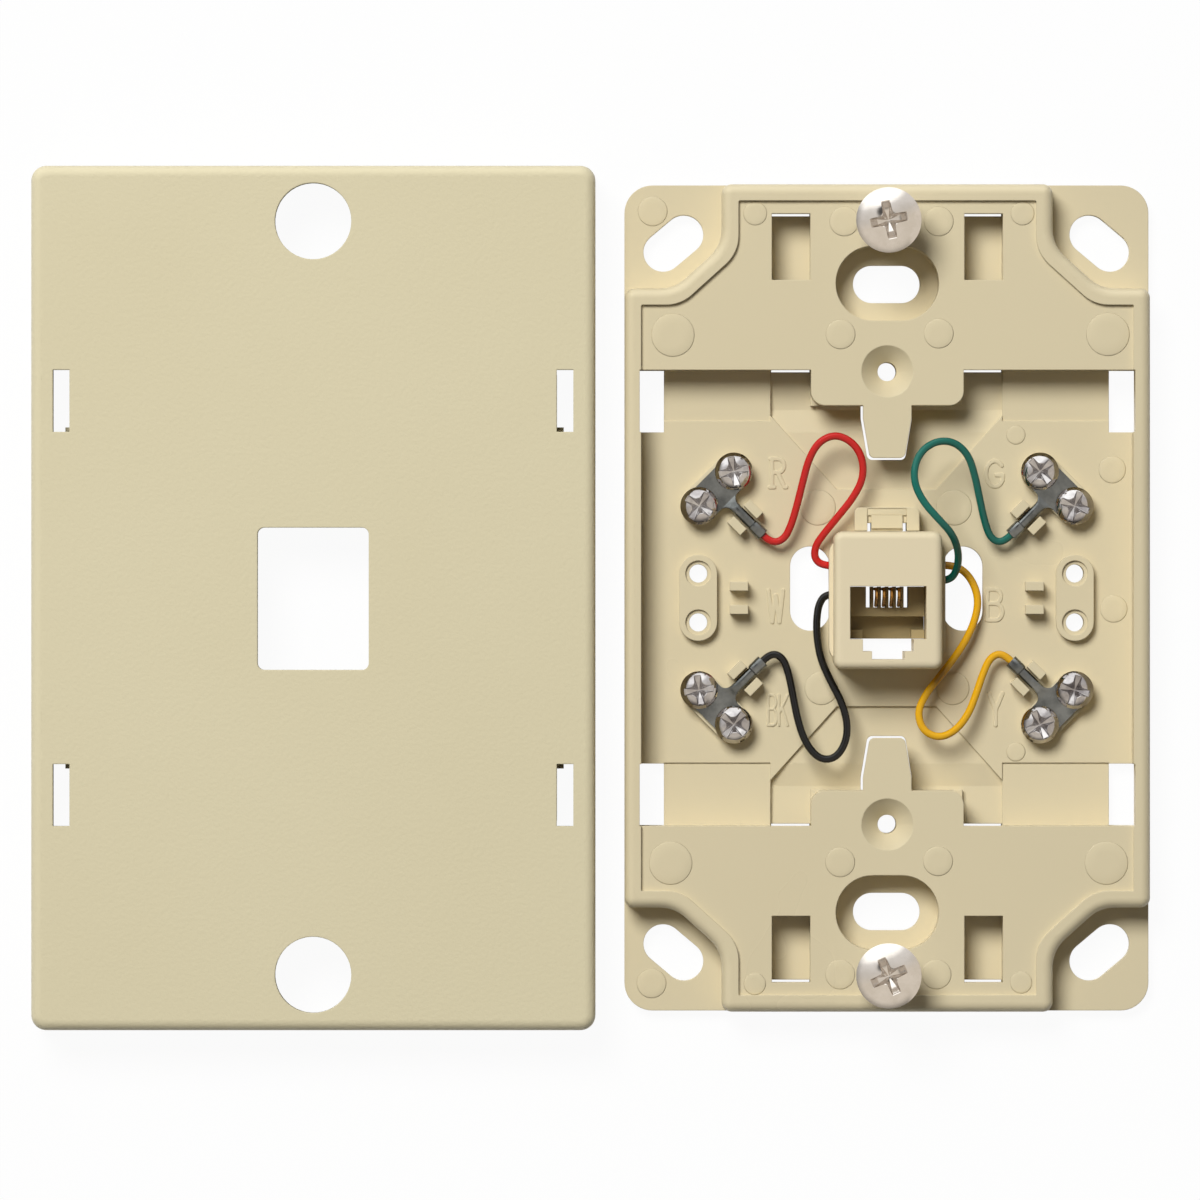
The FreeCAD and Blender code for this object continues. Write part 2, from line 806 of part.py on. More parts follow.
        # The cross bar is lower than the arms behind a narrow lip.
        drawOutline(sketch, rectangle(times(-1, arm), bar, arm, catchEnd + " - catch_bar_lip"))
    pocket(base, "catch_bar_face", "floor_thickness + catch_height", "catch_bar_recess", catchBarFace)

    def catchWindows(sketch):
        # The floor is open in the slots on both sides of the spring block.
        for across in BOTH:
            drawOutline(sketch, rectangle(
                times(across, block), catchStart + " - catch_gap/2",
                times(across, arm), catchStart + " + catch_window_length"))
    pocket(base, "catch_windows", "floor_thickness", "floor_thickness", catchWindows)

    def snapWindows(sketch, depth):
        inner = "base_width/2 - rim_width - snap_window_width"
        outer = "base_width/2 - rim_width + " + depth
        for across, along in CORNERS:
            drawOutline(sketch, rectangle(
                times(across, inner), times(along, "snap_start"),
                times(across, outer), times(along, "snap_start + snap_length")))
    pocket(base, "snap_windows", "rim_level", "rim_level",
           lambda sketch: snapWindows(sketch, "snap_relief"))
    pocket(base, "snap_recesses", "snap_ledge_level", "snap_ledge_level",
           lambda sketch: snapWindows(sketch, "snap_recess"))

    def boxRecesses(sketch):
        for along in BOTH:
            drawSlot(sketch, "0", times(along, "box_screw_spacing/2"),
                     "box_recess_length", "box_recess_width")
    pocket(base, "box_screw_recesses", "shelf_level", "shelf_level - box_recess_floor", boxRecesses)

    def boxSlots(sketch):
        for along in BOTH:
            drawSlot(sketch, "0", times(along, "box_screw_spacing/2"), "box_slot_length", "box_slot_width")
    pocket(base, "box_screw_slots", "box_recess_floor", "box_recess_floor", boxSlots)

    def earSlots(sketch):
        for across, along in CORNERS:
            drawSlot(sketch, times(across, "ear_slot_spacing_across/2"),
                     times(along, "ear_slot_spacing_along/2"), "ear_slot_length", "ear_slot_width",
                     times(-across * along, "ear_slot_angle"))
    pocket(base, "ear_slots", "floor_thickness", "floor_thickness", earSlots)

    def studHoles(sketch):
        for along in BOTH:
            drawCircle(sketch, "0", times(along, "stud_spacing/2"), "stud_shank")
    pocket(base, "stud_holes", "shelf_level", "shelf_level", studHoles)

    # Countersunk wall screw holes.
    holeSketch = newSketch(base, "wall_screw_centres", "shelf_level")
    for along in BOTH:
        drawCircle(holeSketch, "0", times(along, "wall_screw_spacing/2"), "wall_screw_hole")
    doc.recompute()
    hole = base.newObject("PartDesign::Hole", "wall_screw_holes")
    hole.Profile = holeSketch
    hole.DepthType = "ThroughAll"
    hole.Threaded = False
    bind(hole, "Diameter", "wall_screw_hole")
    hole.HoleCutType = "Countersink"
    bind(hole, "HoleCutDiameter", "wall_screw_sink")
    hole.HoleCutCountersinkAngle = 90
    return base


def makeCover():
    cover = newBody("cover_plate", x="-(base_width/2 + cover_gap + cover_width/2)")

    def outline(sketch):
        drawOutline(sketch, centred("0", "0", "cover_width", "cover_height", "cover_corner_radius"))
    block = pad(cover, "cover_block", "0", "cover_depth", outline)
    fillet(cover, "cover_edge", block, edgesAt(block, "cover_depth"), "cover_round")

    def inside(sketch):
        drawOutline(sketch, centred("0", "0", "cover_width - 2*cover_wall", "cover_height - 2*cover_wall"))
    pocket(cover, "cover_inside", "0", "cover_depth - cover_face", inside, upward=True)

    def window(sketch):
        drawOutline(sketch, centred("0", "-cover_window_drop", "cover_window_width",
                                    "cover_window_height", "cover_window_radius"))
    pocket(cover, "jack_window", "cover_depth", "cover_face", window)

    def studHoles(sketch):
        for along in BOTH:
            drawCircle(sketch, "0", times(along, "stud_spacing/2"), "cover_stud_hole")
    pocket(cover, "stud_clearance_holes", "cover_depth", "cover_face", studHoles)

    armFace = "base_width/2 - rim_width - hook_gap"
    middle = "snap_start + snap_length/2"

    def hookArms(sketch):
        for across, along in CORNERS:
            drawOutline(sketch, rectangle(
                times(across, armFace + " - hook_thickness"), times(along, middle + " - hook_width/2"),
                times(across, armFace), times(along, middle + " + hook_width/2")))
    pad(cover, "hook_arms", "hook_tip_level", "cover_depth - cover_face/2 - hook_tip_level", hookArms)

    def slots(sketch):
        for across, along in CORNERS:
            drawOutline(sketch, rectangle(
                times(across, armFace), times(along, "snap_start - cover_slot_clearance"),
                times(across, armFace + " + cover_slot_width"),
                times(along, "snap_start + snap_length - cover_slot_clearance")))
    pocket(cover, "hook_slots", "cover_depth", "cover_face", slots)

    # Catches on the hook arms: a wedge with its step upward.
    side = "-(snap_start + snap_length/2 - hook_width/2)"
    profile = newSketch(cover, "hook_catch_profile", side, "XZ_Plane")
    for across in BOTH:
        drawOutline(profile, [
            (times(across, armFace + " - hook_catch_lap"), "hook_tip_level"),
            (times(across, armFace), "hook_tip_level"),
            (times(across, armFace + " + hook_catch"), "hook_tip_level + hook_catch_nose"),
            (times(across, armFace + " + hook_catch"), "hook_tip_level + hook_catch_height"),
            (times(across, armFace + " - hook_catch_lap"), "hook_tip_level + hook_catch_height"),
        ])
    catch = cover.newObject("PartDesign::Pad", "hook_catches")
    catch.Profile = profile
    bind(catch, "Length", "hook_width")
    catch.Reversed = False
    mirror = cover.newObject("PartDesign::Mirrored", "hook_catches_mirrored")
    mirror.Originals = [catch]
    mirror.MirrorPlane = (originPart(cover, "XZ_Plane"), [""])
    cover.Tip = mirror
    return cover


def openingLines():
    centre = "-jack_drop - opening_drop"
    top = centre + " + opening_height/2"
    bottom = centre + " - opening_height/2"
    return centre, top, bottom


def makeHousing():
    housing = newBody("jack_housing")

    def rear(sketch):
        drawOutline(sketch, centred("0", JACK_CENTRE, "jack_rear_width", "jack_rear_height"))
    pad(housing, "rear_block", "jack_rear_level", "floor_thickness", rear)

    def lower(sketch):
        drawOutline(sketch, centred("0", JACK_CENTRE, "jack_body_width", "jack_body_height",
                                    "jack_body_radius"))
    pad(housing, "lower_body", "floor_thickness", "jack_body_level - floor_thickness", lower)

    def front(sketch):
        drawOutline(sketch, centred("0", JACK_CENTRE, "jack_width", "jack_height", "jack_corner_radius"))
    block = pad(housing, "front_block", "floor_thickness", "jack_front_level - floor_thickness", front)
    fillet(housing, "front_edge", block, edgesAt(block, "jack_front_level"), "jack_edge_round")

    def plugOpening(sketch):
        # Plug cavity with the stepped slot of the plug's latch at its lower side.
        centre, top, bottom = openingLines()
        half = "opening_width/2"
        latch = "latch_width/2"
        tail = "latch_tail_width/2"
        step = bottom + " - latch_height"
        end = step + " - latch_tail_height"
        right = [(half, top), (half, bottom), (latch, bottom), (latch, step), (tail, step), (tail, end)]
        left = [(times(-1, x), y) for x, y in right]
        drawOutline(sketch, right + left[::-1])
    pocket(housing, "plug_opening", "jack_front_level", "jack_front_level - jack_rear_level", plugOpening)

    # Holes in the sides of the lower body where the wires go in.
    for name, across, rise, level in WIRE_ENTRIES:
        side = times(across, "jack_body_width/2")
        sketch = newSketch(housing, "wire_hole_%s_outline" % name, side, "YZ_Plane")
        drawCircle(sketch, rise, level, "wire_diameter + 2*wire_hole_clearance")
        hole = housing.newObject("PartDesign::Pocket", "wire_hole_%s" % name)
        hole.Profile = sketch
        hole.Reversed = across < 0
        bind(hole, "Length", "wire_hole_depth")
    return housing


def makeInsert():
    insert = newBody("contact_carrier")
    centre, top, bottom = openingLines()
    half = "opening_width/2 - insert_clearance"
    topEdge = top + " - insert_clearance"

    def plate(sketch):
        drawOutline(sketch, rectangle(times(-1, half), bottom + " + insert_clearance", half, topEdge))
    pad(insert, "carrier_plate", "jack_rear_level", "insert_level - jack_rear_level", plate)

    def comb(sketch):
        drawOutline(sketch, rectangle(times(-1, half), top + " - comb_height", half, topEdge))
    pad(insert, "comb_block", "jack_rear_level", "comb_level - jack_rear_level", comb)

    def shoulders(sketch):
        # Stops for the plug in the two lower corners of the cavity.
        for across in BOTH:
            drawOutline(sketch, rectangle(
                times(across, half), bottom + " + insert_clearance",
                times(across, half + " - shoulder_width"), bottom + " + shoulder_height"))
    pad(insert, "plug_stops", "jack_rear_level", "shoulder_level - jack_rear_level", shoulders)

    def slots(sketch):
        for place in COMB_PLACES:
            drawOutline(sketch, rectangle(
                "%s*comb_pitch - comb_slot_width/2" % place, top + " - comb_slot_height",
                "%s*comb_pitch + comb_slot_width/2" % place, top + " + insert_clearance"))
    pocket(insert, "comb_slots", "comb_level", "comb_level", slots)
    return insert


def roundWire(points, radii, diameter):
    # Tube along straight runs joined by tangent arcs.
    edges = []
    here = points[0]
    for before, corner, after, radius in zip(points, points[1:], points[2:], radii):
        back = (before - corner).normalize()
        ahead = (after - corner).normalize()
        turn = math.pi - back.getAngle(ahead)
        reach = radius * math.tan(turn / 2)
        start = corner + back * reach
        end = corner + ahead * reach
        inward = (back + ahead).normalize()
        middle = corner + inward * (radius / math.cos(turn / 2) - radius)
        edges.append(Part.LineSegment(here, start).toShape())
        edges.append(Part.Arc(start, middle, end).toShape())
        here = end
    edges.append(Part.LineSegment(here, points[-1]).toShape())
    path = Part.Wire(edges)
    section = Part.Circle(points[0], points[1] - points[0], diameter / 2).toShape()
    tube = path.makePipeShell([Part.Wire(section)], True, False)
    return tube, path.Length


def makeContact(label, place):
    # Contact wire: up the comb slot, round the bend and back down into the cavity.
    centre, top, bottom = openingLines()
    x = value("%s*comb_pitch" % place)
    y = value(top + " - contact_inset")
    bend = value("contact_bend_level")
    radius = value("contact_bend_radius")
    lean = math.radians(value("contact_lean"))
    drop = bend - value("contact_tip_level")
    points = [
        V(x, y, value("contact_start")),
        V(x, y, bend),
        V(x, y - 2 * radius, bend),
        V(x, y - 2 * radius - drop * math.tan(lean), bend - drop),
    ]
    contact = doc.addObject("Part::Feature", label)
    contact.Label = label
    contact.Shape = roundWire(points, [radius, radius], value("contact_diameter"))[0]
    return contact


def makeScrew(label, place, side):
    x, y = turned(place, [("0", times(side, "terminal_spacing/2"))])[0]
    body = newBody(label, x, y, BOSS_LEVEL + " + lug_thickness")
    revolve(body, "turned_screw", [
        ("0", "-screw_length"),
        ("screw_shank/2", "-screw_length"),
        ("screw_shank/2", "0"),
        ("screw_head/2", "0"),
        ("screw_head/2", "screw_head_height", "screw_head_round"),
        ("0", "screw_head_height"),
    ])
    crossRecess(body, "cross_recess", "screw_head_height", "screw_cross", "screw_cross_width",
                "screw_cross_depth")
    return body


def makeStud(label, along):
    body = newBody(label, "0", times(along, "stud_spacing/2"))
    top = "stud_head_level + stud_head_height"
    revolve(body, "turned_stud", [
        ("0", "0"),
        ("stud_shank/2", "0"),
        ("stud_shank/2", "shelf_level"),
        ("stud_neck/2", "shelf_level"),
        ("stud_neck/2", "stud_head_level"),
        ("stud_head/2", "stud_head_level"),
        ("stud_head/2", "stud_head_level + stud_head_edge"),
        ("stud_head_flat/2", top, "stud_head_dome"),
        ("0", top),
    ])
    crossRecess(body, "cross_recess", top, "stud_cross", "stud_cross_width", "stud_cross_depth")
    return body


def makeLug(label, place):
    x, y, angle = place
    body = newBody(label, x, y, BOSS_LEVEL, angle)

    def plate(sketch):
        drawOutline(sketch, centred("lug_plate_shift", "0", "lug_width", "lug_length", "lug_radius"))
    pad(body, "lug_plate", "0", "lug_thickness", plate)

    def holes(sketch):
        for side in BOTH:
            drawCircle(sketch, "0", times(side, "terminal_spacing/2"), "screw_shank + lug_hole_clearance")
    pocket(body, "lug_holes", "lug_thickness", "lug_thickness", holes)

    def rolled(label, start, end, low, width, height, rounding):
        # Crimped barrel that lies along the terminal.
        sketch = newSketch(body, label + "_section", start, "YZ_Plane")
        half = "%s/2" % width
        drawOutline(sketch, rectangle(times(-1, half), low, half, "%s + %s" % (low, height), rounding))
        barrel = body.newObject("PartDesign::Pad", label)
        barrel.Profile = sketch
        bind(barrel, "Length", "%s - (%s)" % (end, start))
    rolled("wire_barrel", "barrel_start", "grip_start", "0", "barrel_width", "barrel_height",
           "barrel_round")
    rolled("insulation_grip", "grip_start", "lug_reach", "-lug_drop", "grip_width", "grip_height",
           "grip_round")
    return body


# Wires: the side of the jack they enter and where.
WIRE_ENTRIES = [
    ("red", -1, "red_entry_rise", "low_entry_level"),
    ("green", 1, "green_entry_rise", "high_entry_level"),
    ("yellow", 1, "yellow_entry_rise", "low_entry_level"),
    ("black", -1, "black_entry_rise", "low_entry_level"),
]

COMB_PLACES = ["-2.5", "-1.5", "-0.5", "0.5", "1.5", "2.5"]

# Routes of the wires from the lug to the side of the jack, by hand.
WIRE_ROUTES = {
    "red": [
        (-15.35, 7.25, 4.1), (-13.6, 7.75, 4.2), (-12.6, 9.9, 4.5), (-11.8, 12.8, 4.9), (-11.1, 15.7, 5.3),
        (-10.4, 18.4, 5.7), (-9.1, 20.7, 6.0), (-6.9, 21.7, 6.0), (-4.6, 20.7, 5.9), (-3.25, 18.6, 5.7),
        (-3.15, 15.9, 5.5), (-4.4, 13.4, 5.2), (-6.4, 10.9, 4.7), (-8.3, 8.6, 4.1), (-9.5, 6.9, 3.6),
        (-9.6, 5.2, 3.2), (-8.4, 4.25, 3.1),
    ],
    "green": [
        (15.35, 7.25, 4.1), (13.75, 7.85, 4.4), (12.9, 10.2, 5.2), (12.25, 13.1, 6.2), (11.6, 16.1, 7.2),
        (10.7, 18.9, 8.2), (8.9, 20.6, 9.0), (6.6, 20.8, 9.8), (4.5, 19.6, 10.6), (3.4, 17.4, 11.4),
        (3.45, 14.9, 12.0), (4.7, 12.5, 12.4), (6.6, 10.4, 12.5), (8.5, 8.4, 11.2), (9.4, 6.1, 8.6),
        (9.3, 3.8, 6.2), (8.3, 2.26, 5.2),
    ],
    "yellow": [
        (15.35, -7.25, 4.1), (13.7, -7.85, 4.2), (12.7, -10.1, 4.5), (11.8, -12.8, 4.9), (10.8, -15.4, 5.2),
        (9.1, -17.6, 5.4), (6.9, -18.6, 5.5), (4.7, -17.6, 5.4), (4.0, -15.1, 5.2), (5.2, -12.6, 5.0),
        (7.0, -10.4, 4.8), (8.9, -8.0, 4.5), (10.5, -5.6, 4.2), (11.7, -3.0, 3.9), (12.2, -0.3, 3.6),
        (11.5, 2.1, 3.3), (10.1, 3.8, 3.1), (8.4, 4.38, 3.1),
    ],
    "black": [
        (-15.35, -7.25, 4.1), (-13.75, -7.9, 4.2), (-12.95, -10.3, 4.5), (-12.4, -13.3, 4.9),
        (-11.8, -16.4, 5.3), (-10.8, -19.3, 5.7), (-9.0, -21.4, 6.0), (-6.9, -21.3, 6.0), (-5.5, -19.3, 5.8),
        (-5.2, -16.7, 5.5), (-6.0, -13.8, 5.2), (-7.5, -11.0, 4.8), (-8.8, -8.1, 4.4), (-9.3, -5.2, 4.0),
        (-9.3, -2.7, 3.6), (-9.0, -0.8, 3.2), (-8.1, 0.53, 3.1),
    ],
}


def makeWire(name, place, entry):
    # The wire starts on the end face of its lug and ends inside the jack's side.
    x, y = turned(place, [("lug_reach", "0")])[0]
    start = V(value(x), value(y), value(BOSS_LEVEL + " - lug_drop + grip_height/2"))
    across, rise, level = entry
    end = V(across * value("jack_body_width/2 - wire_hole_depth"), value(rise), value(level))
    points = [start] + [V(*point) for point in WIRE_ROUTES[name]] + [end]
    radii = []
    for before, corner, after in zip(points, points[1:], points[2:]):
        turn = math.pi - (before - corner).getAngle(after - corner)
        run = min(before.distanceToPoint(corner), after.distanceToPoint(corner))
        radii.append(value("wire_bend_share") * run / math.tan(turn / 2))
    diameter = value("wire_diameter")
    tube, length = roundWire(points, radii, diameter)
    print("wire %s: length %.2f, radii %s" % (name, length, " ".join("%.1f" % radius for radius in radii)))
    expected = math.pi * diameter ** 2 / 4 * length
    if abs(tube.Volume - expected) > VOLUME_TOLERANCE * expected:
        raise RuntimeError("wire %s has volume %.3f, expected %.3f" % (name, tube.Volume, expected))
    wire = doc.addObject("Part::Feature", "wire_" + name)
    wire.Label = "wire_" + name
    wire.Shape = tube
    return wire


parts = [makeBase(), makeCover(), makeHousing(), makeInsert()]
for number, place in enumerate(COMB_PLACES[1:-1], start=1):
    parts.append(makeContact("contact_wire_%d" % number, place))
parts.append(makeStud("phone_stud_top", 1))
parts.append(makeStud("phone_stud_bottom", -1))
for (name, *_), place, entry in zip(TERMINALS, WIRED_PLACES, WIRE_ENTRIES):
    parts.append(makeLug("lug_" + name, place))
    parts.append(makeScrew("terminal_screw_%s_1" % name, place, 1))
    parts.append(makeScrew("terminal_screw_%s_2" % name, place, -1))
    parts.append(makeWire(name, place, entry[1:]))

doc.recompute()
for thing in doc.Objects:
    if "Invalid" in thing.State or "Error" in thing.State:
        raise RuntimeError("%s failed: %s" % (thing.Name, thing.State))
for part in parts:
    if part.Shape.isNull() or not part.Shape.isValid():
        raise RuntimeError("%s has no valid shape" % part.Label)
    if len(part.Shape.Solids) != 1:
        raise RuntimeError("%s has %d solids" % (part.Label, len(part.Shape.Solids)))

os.makedirs("parts", exist_ok=True)
for part in parts:
    part.Shape.exportStep("parts/%s.step" % part.Label)
print("wrote %d parts" % len(parts))
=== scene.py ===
# Telephone wall socket: the base with its terminals and jack, and the cover taken off beside it.
# Lengths in the dictionaries are in millimetres, in the same frame as the CAD, except where noted.
import math

import bpy
import numpy as np
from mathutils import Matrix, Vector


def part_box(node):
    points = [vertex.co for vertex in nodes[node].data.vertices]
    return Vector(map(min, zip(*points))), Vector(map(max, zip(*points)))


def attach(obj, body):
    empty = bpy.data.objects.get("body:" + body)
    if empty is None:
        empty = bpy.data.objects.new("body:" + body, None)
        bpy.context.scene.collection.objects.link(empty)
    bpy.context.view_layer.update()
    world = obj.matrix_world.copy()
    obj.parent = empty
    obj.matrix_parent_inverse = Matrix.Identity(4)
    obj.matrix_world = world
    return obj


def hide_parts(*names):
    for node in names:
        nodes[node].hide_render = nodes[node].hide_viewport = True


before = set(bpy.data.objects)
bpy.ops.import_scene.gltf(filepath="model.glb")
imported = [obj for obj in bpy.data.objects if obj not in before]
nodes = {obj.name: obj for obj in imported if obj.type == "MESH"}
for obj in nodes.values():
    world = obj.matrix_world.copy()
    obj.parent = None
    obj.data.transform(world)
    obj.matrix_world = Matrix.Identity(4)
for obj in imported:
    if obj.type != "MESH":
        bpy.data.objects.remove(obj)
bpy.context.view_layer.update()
mm = 0.001
terminalNames = ["red", "green", "yellow", "black"]
print("frame loaded with", len(nodes), "CAD nodes")


# camera

camera = {
    "place": (-38.05, -0.27, 1400.0),  # straight above the middle of the two halves
    "lens": 315.7,
    "sensor": 36.0,
    "clip": (50.0, 30000.0),
}


def makeCamera():
    data = bpy.data.cameras.new("photoCamera")
    data.lens = camera["lens"]
    data.sensor_width = camera["sensor"]
    data.clip_start, data.clip_end = [v * mm for v in camera["clip"]]
    eye = bpy.data.objects.new("photoCamera", data)
    eye.location = [v * mm for v in camera["place"]]
    bpy.context.scene.collection.objects.link(eye)
    bpy.context.scene.camera = eye


makeCamera()
print("camera set")


# shader helpers and the effects that several finishes share

def linear(red, green, blue):
    # screen colour out of 255 to the linear values that shaders use
    srgb = np.array([red, green, blue]) / 255
    plain = np.where(srgb <= 0.04045, srgb / 12.92, ((srgb + 0.055) / 1.055) ** 2.4)
    return (*[float(v) for v in plain], 1.0)


def addNode(tree, kind, **settings):
    made = tree.nodes.new(kind)
    for name, value in settings.items():
        setattr(made, name, value)
    return made


def newGroup(name, inputs, outputs):
    group = bpy.data.node_groups.new(name, "ShaderNodeTree")
    for label, value in inputs:
        socket = group.interface.new_socket(name=label, in_out="INPUT", socket_type="NodeSocketFloat")
        socket.default_value = value
    for label in outputs:
        group.interface.new_socket(name=label, in_out="OUTPUT", socket_type="NodeSocketFloat")
    return group, group.nodes.new("NodeGroupInput"), group.nodes.new("NodeGroupOutput")


def addNoise(tree, place, scale, detail, roughness=0.5):
    noise = addNode(tree, "ShaderNodeTexNoise")
    noise.inputs["Detail"].default_value = detail
    noise.inputs["Roughness"].default_value = roughness
    tree.links.new(place, noise.inputs["Vector"])
    tree.links.new(scale, noise.inputs["Scale"])
    return noise.outputs["Fac"]


def addRange(tree, value, start, end, first=0.0, last=1.0, kind="LINEAR"):
    # first where the value is at start or before it, last at end or past it
    step = addNode(tree, "ShaderNodeMapRange", interpolation_type=kind)
    for label, given in (("From Min", start), ("From Max", end), ("To Min", first), ("To Max", last)):
        step.inputs[label].default_value = given
    tree.links.new(value, step.inputs["Value"])
    return step.outputs["Result"]


skinNoise = {
    "detail": 1.5, "roughness": 0.55,
    "finer": 3.1, "finerDetail": 1.0,  # how many times finer the second grain is
    "driftDetail": 3.0, "driftRange": (0.3, 0.7), "roughnessShift": 0.04,
}


def makeMouldedSkin():
    # Height: a spark-eroded mould surface, small soft bumps over finer grain.
    # Tone: slow drifts of shade across the moulding, 0 to 1.
    # Roughness Shift: a little less or more roughness with the same drifts.
    group, given, out = newGroup(
        "mouldedSkin",
        [("Grain Scale", 2000.0), ("Fine Share", 0.3), ("Tone Scale", 25.0)],
        ["Height", "Tone", "Roughness Shift"])
    link = group.links.new
    place = addNode(group, "ShaderNodeTexCoord").outputs["Object"]
    bumps = addNoise(group, place, given.outputs["Grain Scale"], skinNoise["detail"], skinNoise["roughness"])
    finer = addNode(group, "ShaderNodeMath", operation="MULTIPLY")
    finer.inputs[1].default_value = skinNoise["finer"]
    link(given.outputs["Grain Scale"], finer.inputs[0])
    grit = addNoise(group, place, finer.outputs["Value"], skinNoise["finerDetail"])
    mixed = addNode(group, "ShaderNodeMix", data_type="FLOAT")
    link(given.outputs["Fine Share"], mixed.inputs["Factor"])
    link(bumps, mixed.inputs["A"])
    link(grit, mixed.inputs["B"])
    link(mixed.outputs["Result"], out.inputs["Height"])
    drift = addNoise(group, place, given.outputs["Tone Scale"], skinNoise["driftDetail"])
    link(drift, out.inputs["Tone"])
    most = skinNoise["roughnessShift"]
    link(addRange(group, drift, *skinNoise["driftRange"], -most, most), out.inputs["Roughness Shift"])
    return group


wearNoise = {
    "lineDetail": 4.0, "cloudDetail": 5.0, "cloudRoughness": 0.6, "cloudRange": (0.35, 0.65),
}


def makePlatedWear():
    # Height: faint drawn lines and dimples left by the header die.
    # Cloud: the milky patches of a plated or tinned skin, 0 to 1.
    group, given, out = newGroup(
        "platedWear",
        [("Line Scale", 900.0), ("Stretch", 12.0), ("Cloud Scale", 350.0)],
        ["Height", "Cloud"])
    link = group.links.new
    place = addNode(group, "ShaderNodeTexCoord").outputs["Object"]
    stretch = addNode(group, "ShaderNodeCombineXYZ")
    stretch.inputs["X"].default_value = 1.0
    stretch.inputs["Z"].default_value = 1.0
    link(given.outputs["Stretch"], stretch.inputs["Y"])
    drawn = addNode(group, "ShaderNodeVectorMath", operation="MULTIPLY")
    link(place, drawn.inputs[0])
    link(stretch.outputs["Vector"], drawn.inputs[1])
    lines = addNoise(group, drawn.outputs["Vector"], given.outputs["Line Scale"], wearNoise["lineDetail"])
    link(lines, out.inputs["Height"])
    cloud = addNoise(group, place, given.outputs["Cloud Scale"], wearNoise["cloudDetail"],
                     wearNoise["cloudRoughness"])
    link(addRange(group, cloud, *wearNoise["cloudRange"]), out.inputs["Cloud"])
    return group


mouldedSkin = makeMouldedSkin()
platedWear = makePlatedWear()


# finishes: colours out of 255, grain and lines in waves per metre, depth in metres, edge in millimetres

bevelSamples = 6
plainShine = 0.4

plastics = {
    "ivoryCover": {"light": (221, 212, 180), "dark": (216, 206, 172), "rough": 0.36, "grain": 1900.0,
                   "fine": 0.25, "bump": 0.6, "depth": 0.00009, "edge": 0.25, "shine": 0.55},
    "ivoryBase": {"light": (219, 207, 174), "dark": (213, 200, 166), "rough": 0.3, "grain": 1500.0,
                  "fine": 0.4, "bump": 0.25, "depth": 0.00003, "edge": 0.2, "shine": 0.6},
    "ivoryJack": {"light": (229, 216, 184), "dark": (225, 211, 178), "rough": 0.3, "grain": 1700.0,
                  "fine": 0.4, "bump": 0.2, "depth": 0.00003, "edge": 0.16},
    # the carrier's ivory is darkened as painted shade, for the shadow deep inside the jack
    "ivoryCarrierPaintedShade": {"light": (166, 149, 110), "dark": (156, 139, 100), "rough": 0.4, "grain": 1700.0,
                     "fine": 0.4, "bump": 0.2, "depth": 0.00003, "edge": 0.16},
    "redInsulation": {"light": (206, 34, 30), "dark": (190, 26, 24), "rough": 0.2, "grain": 1200.0,
                      "fine": 0.3, "bump": 0.25, "depth": 0.00003},
    "greenInsulation": {"light": (0, 108, 94), "dark": (0, 94, 82), "rough": 0.18, "grain": 1200.0,
                        "fine": 0.3, "bump": 0.25, "depth": 0.00003},
    "yellowInsulation": {"light": (232, 176, 22), "dark": (220, 160, 14), "rough": 0.2, "grain": 1200.0,
                         "fine": 0.3, "bump": 0.25, "depth": 0.00003},
    "blackInsulation": {"light": (16, 15, 14), "dark": (10, 9, 9), "rough": 0.2, "grain": 1200.0,
                        "fine": 0.3, "bump": 0.35, "depth": 0.00004},
}

metals = {
    "studChrome": {"bright": (224, 219, 214), "cloudy": (212, 206, 199), "rough": (0.08, 0.16),
                   "bump": 0.15, "depth": 0.00002, "lines": 1200.0, "stretch": 6.0},
    # the screws' colours are kept darker than the studs' as painted shade for their low place between walls;
    # the cloudy patches are the plating's own
    "screwNickelPaintedShade": {"bright": (204, 202, 202), "cloudy": (158, 154, 155), "rough": (0.04, 0.1),
                    "bump": 0.2, "depth": 0.00002, "lines": 1500.0, "stretch": 3.0},
    # the lug's tin is darkened as a painted dark reflection, for the dark surroundings its flat plate mirrors
    "tinnedLugPaintedDark": {"bright": (134, 137, 137), "cloudy": (96, 99, 99), "rough": (0.18, 0.3),
                  "bump": 0.4, "depth": 0.00003, "lines": 1600.0, "stretch": 2.0},
    "contactGold": {"bright": (196, 150, 84), "cloudy": (170, 122, 62), "rough": (0.2, 0.3),
                    "bump": 0.1, "depth": 0.00002, "lines": 2000.0, "stretch": 1.0},
}


def placeGroup(tree, group, values):
    made = addNode(tree, "ShaderNodeGroup")
    made.node_tree = group
    for label, value in values.items():
        made.inputs[label].default_value = value
    return made


def bumpInto(tree, shader, height, strength, depth, edgeRound=0.0):
    bump = addNode(tree, "ShaderNodeBump")
    if edgeRound:
        rounded = addNode(tree, "ShaderNodeBevel")
        rounded.samples = bevelSamples
        rounded.inputs["Radius"].default_value = edgeRound * mm
        tree.links.new(rounded.outputs["Normal"], bump.inputs["Normal"])
    bump.inputs["Strength"].default_value = strength
    bump.inputs["Distance"].default_value = depth
    tree.links.new(height, bump.inputs["Height"])
    tree.links.new(bump.outputs["Normal"], shader.inputs["Normal"])


def newMaterial(name):
    material = bpy.data.materials.new(name)
    material.use_nodes = True
    return material, material.node_tree, material.node_tree.nodes["Principled BSDF"]


def mixInto(tree, factor, first, second, socket):
    # first colour where the factor is 0, second where it is 1
    tone = addNode(tree, "ShaderNodeMix", data_type="RGBA")
    tone.inputs["A"].default_value = linear(*first)
    tone.inputs["B"].default_value = linear(*second)
    tree.links.new(factor, tone.inputs["Factor"])
    tree.links.new(tone.outputs["Result"], socket)


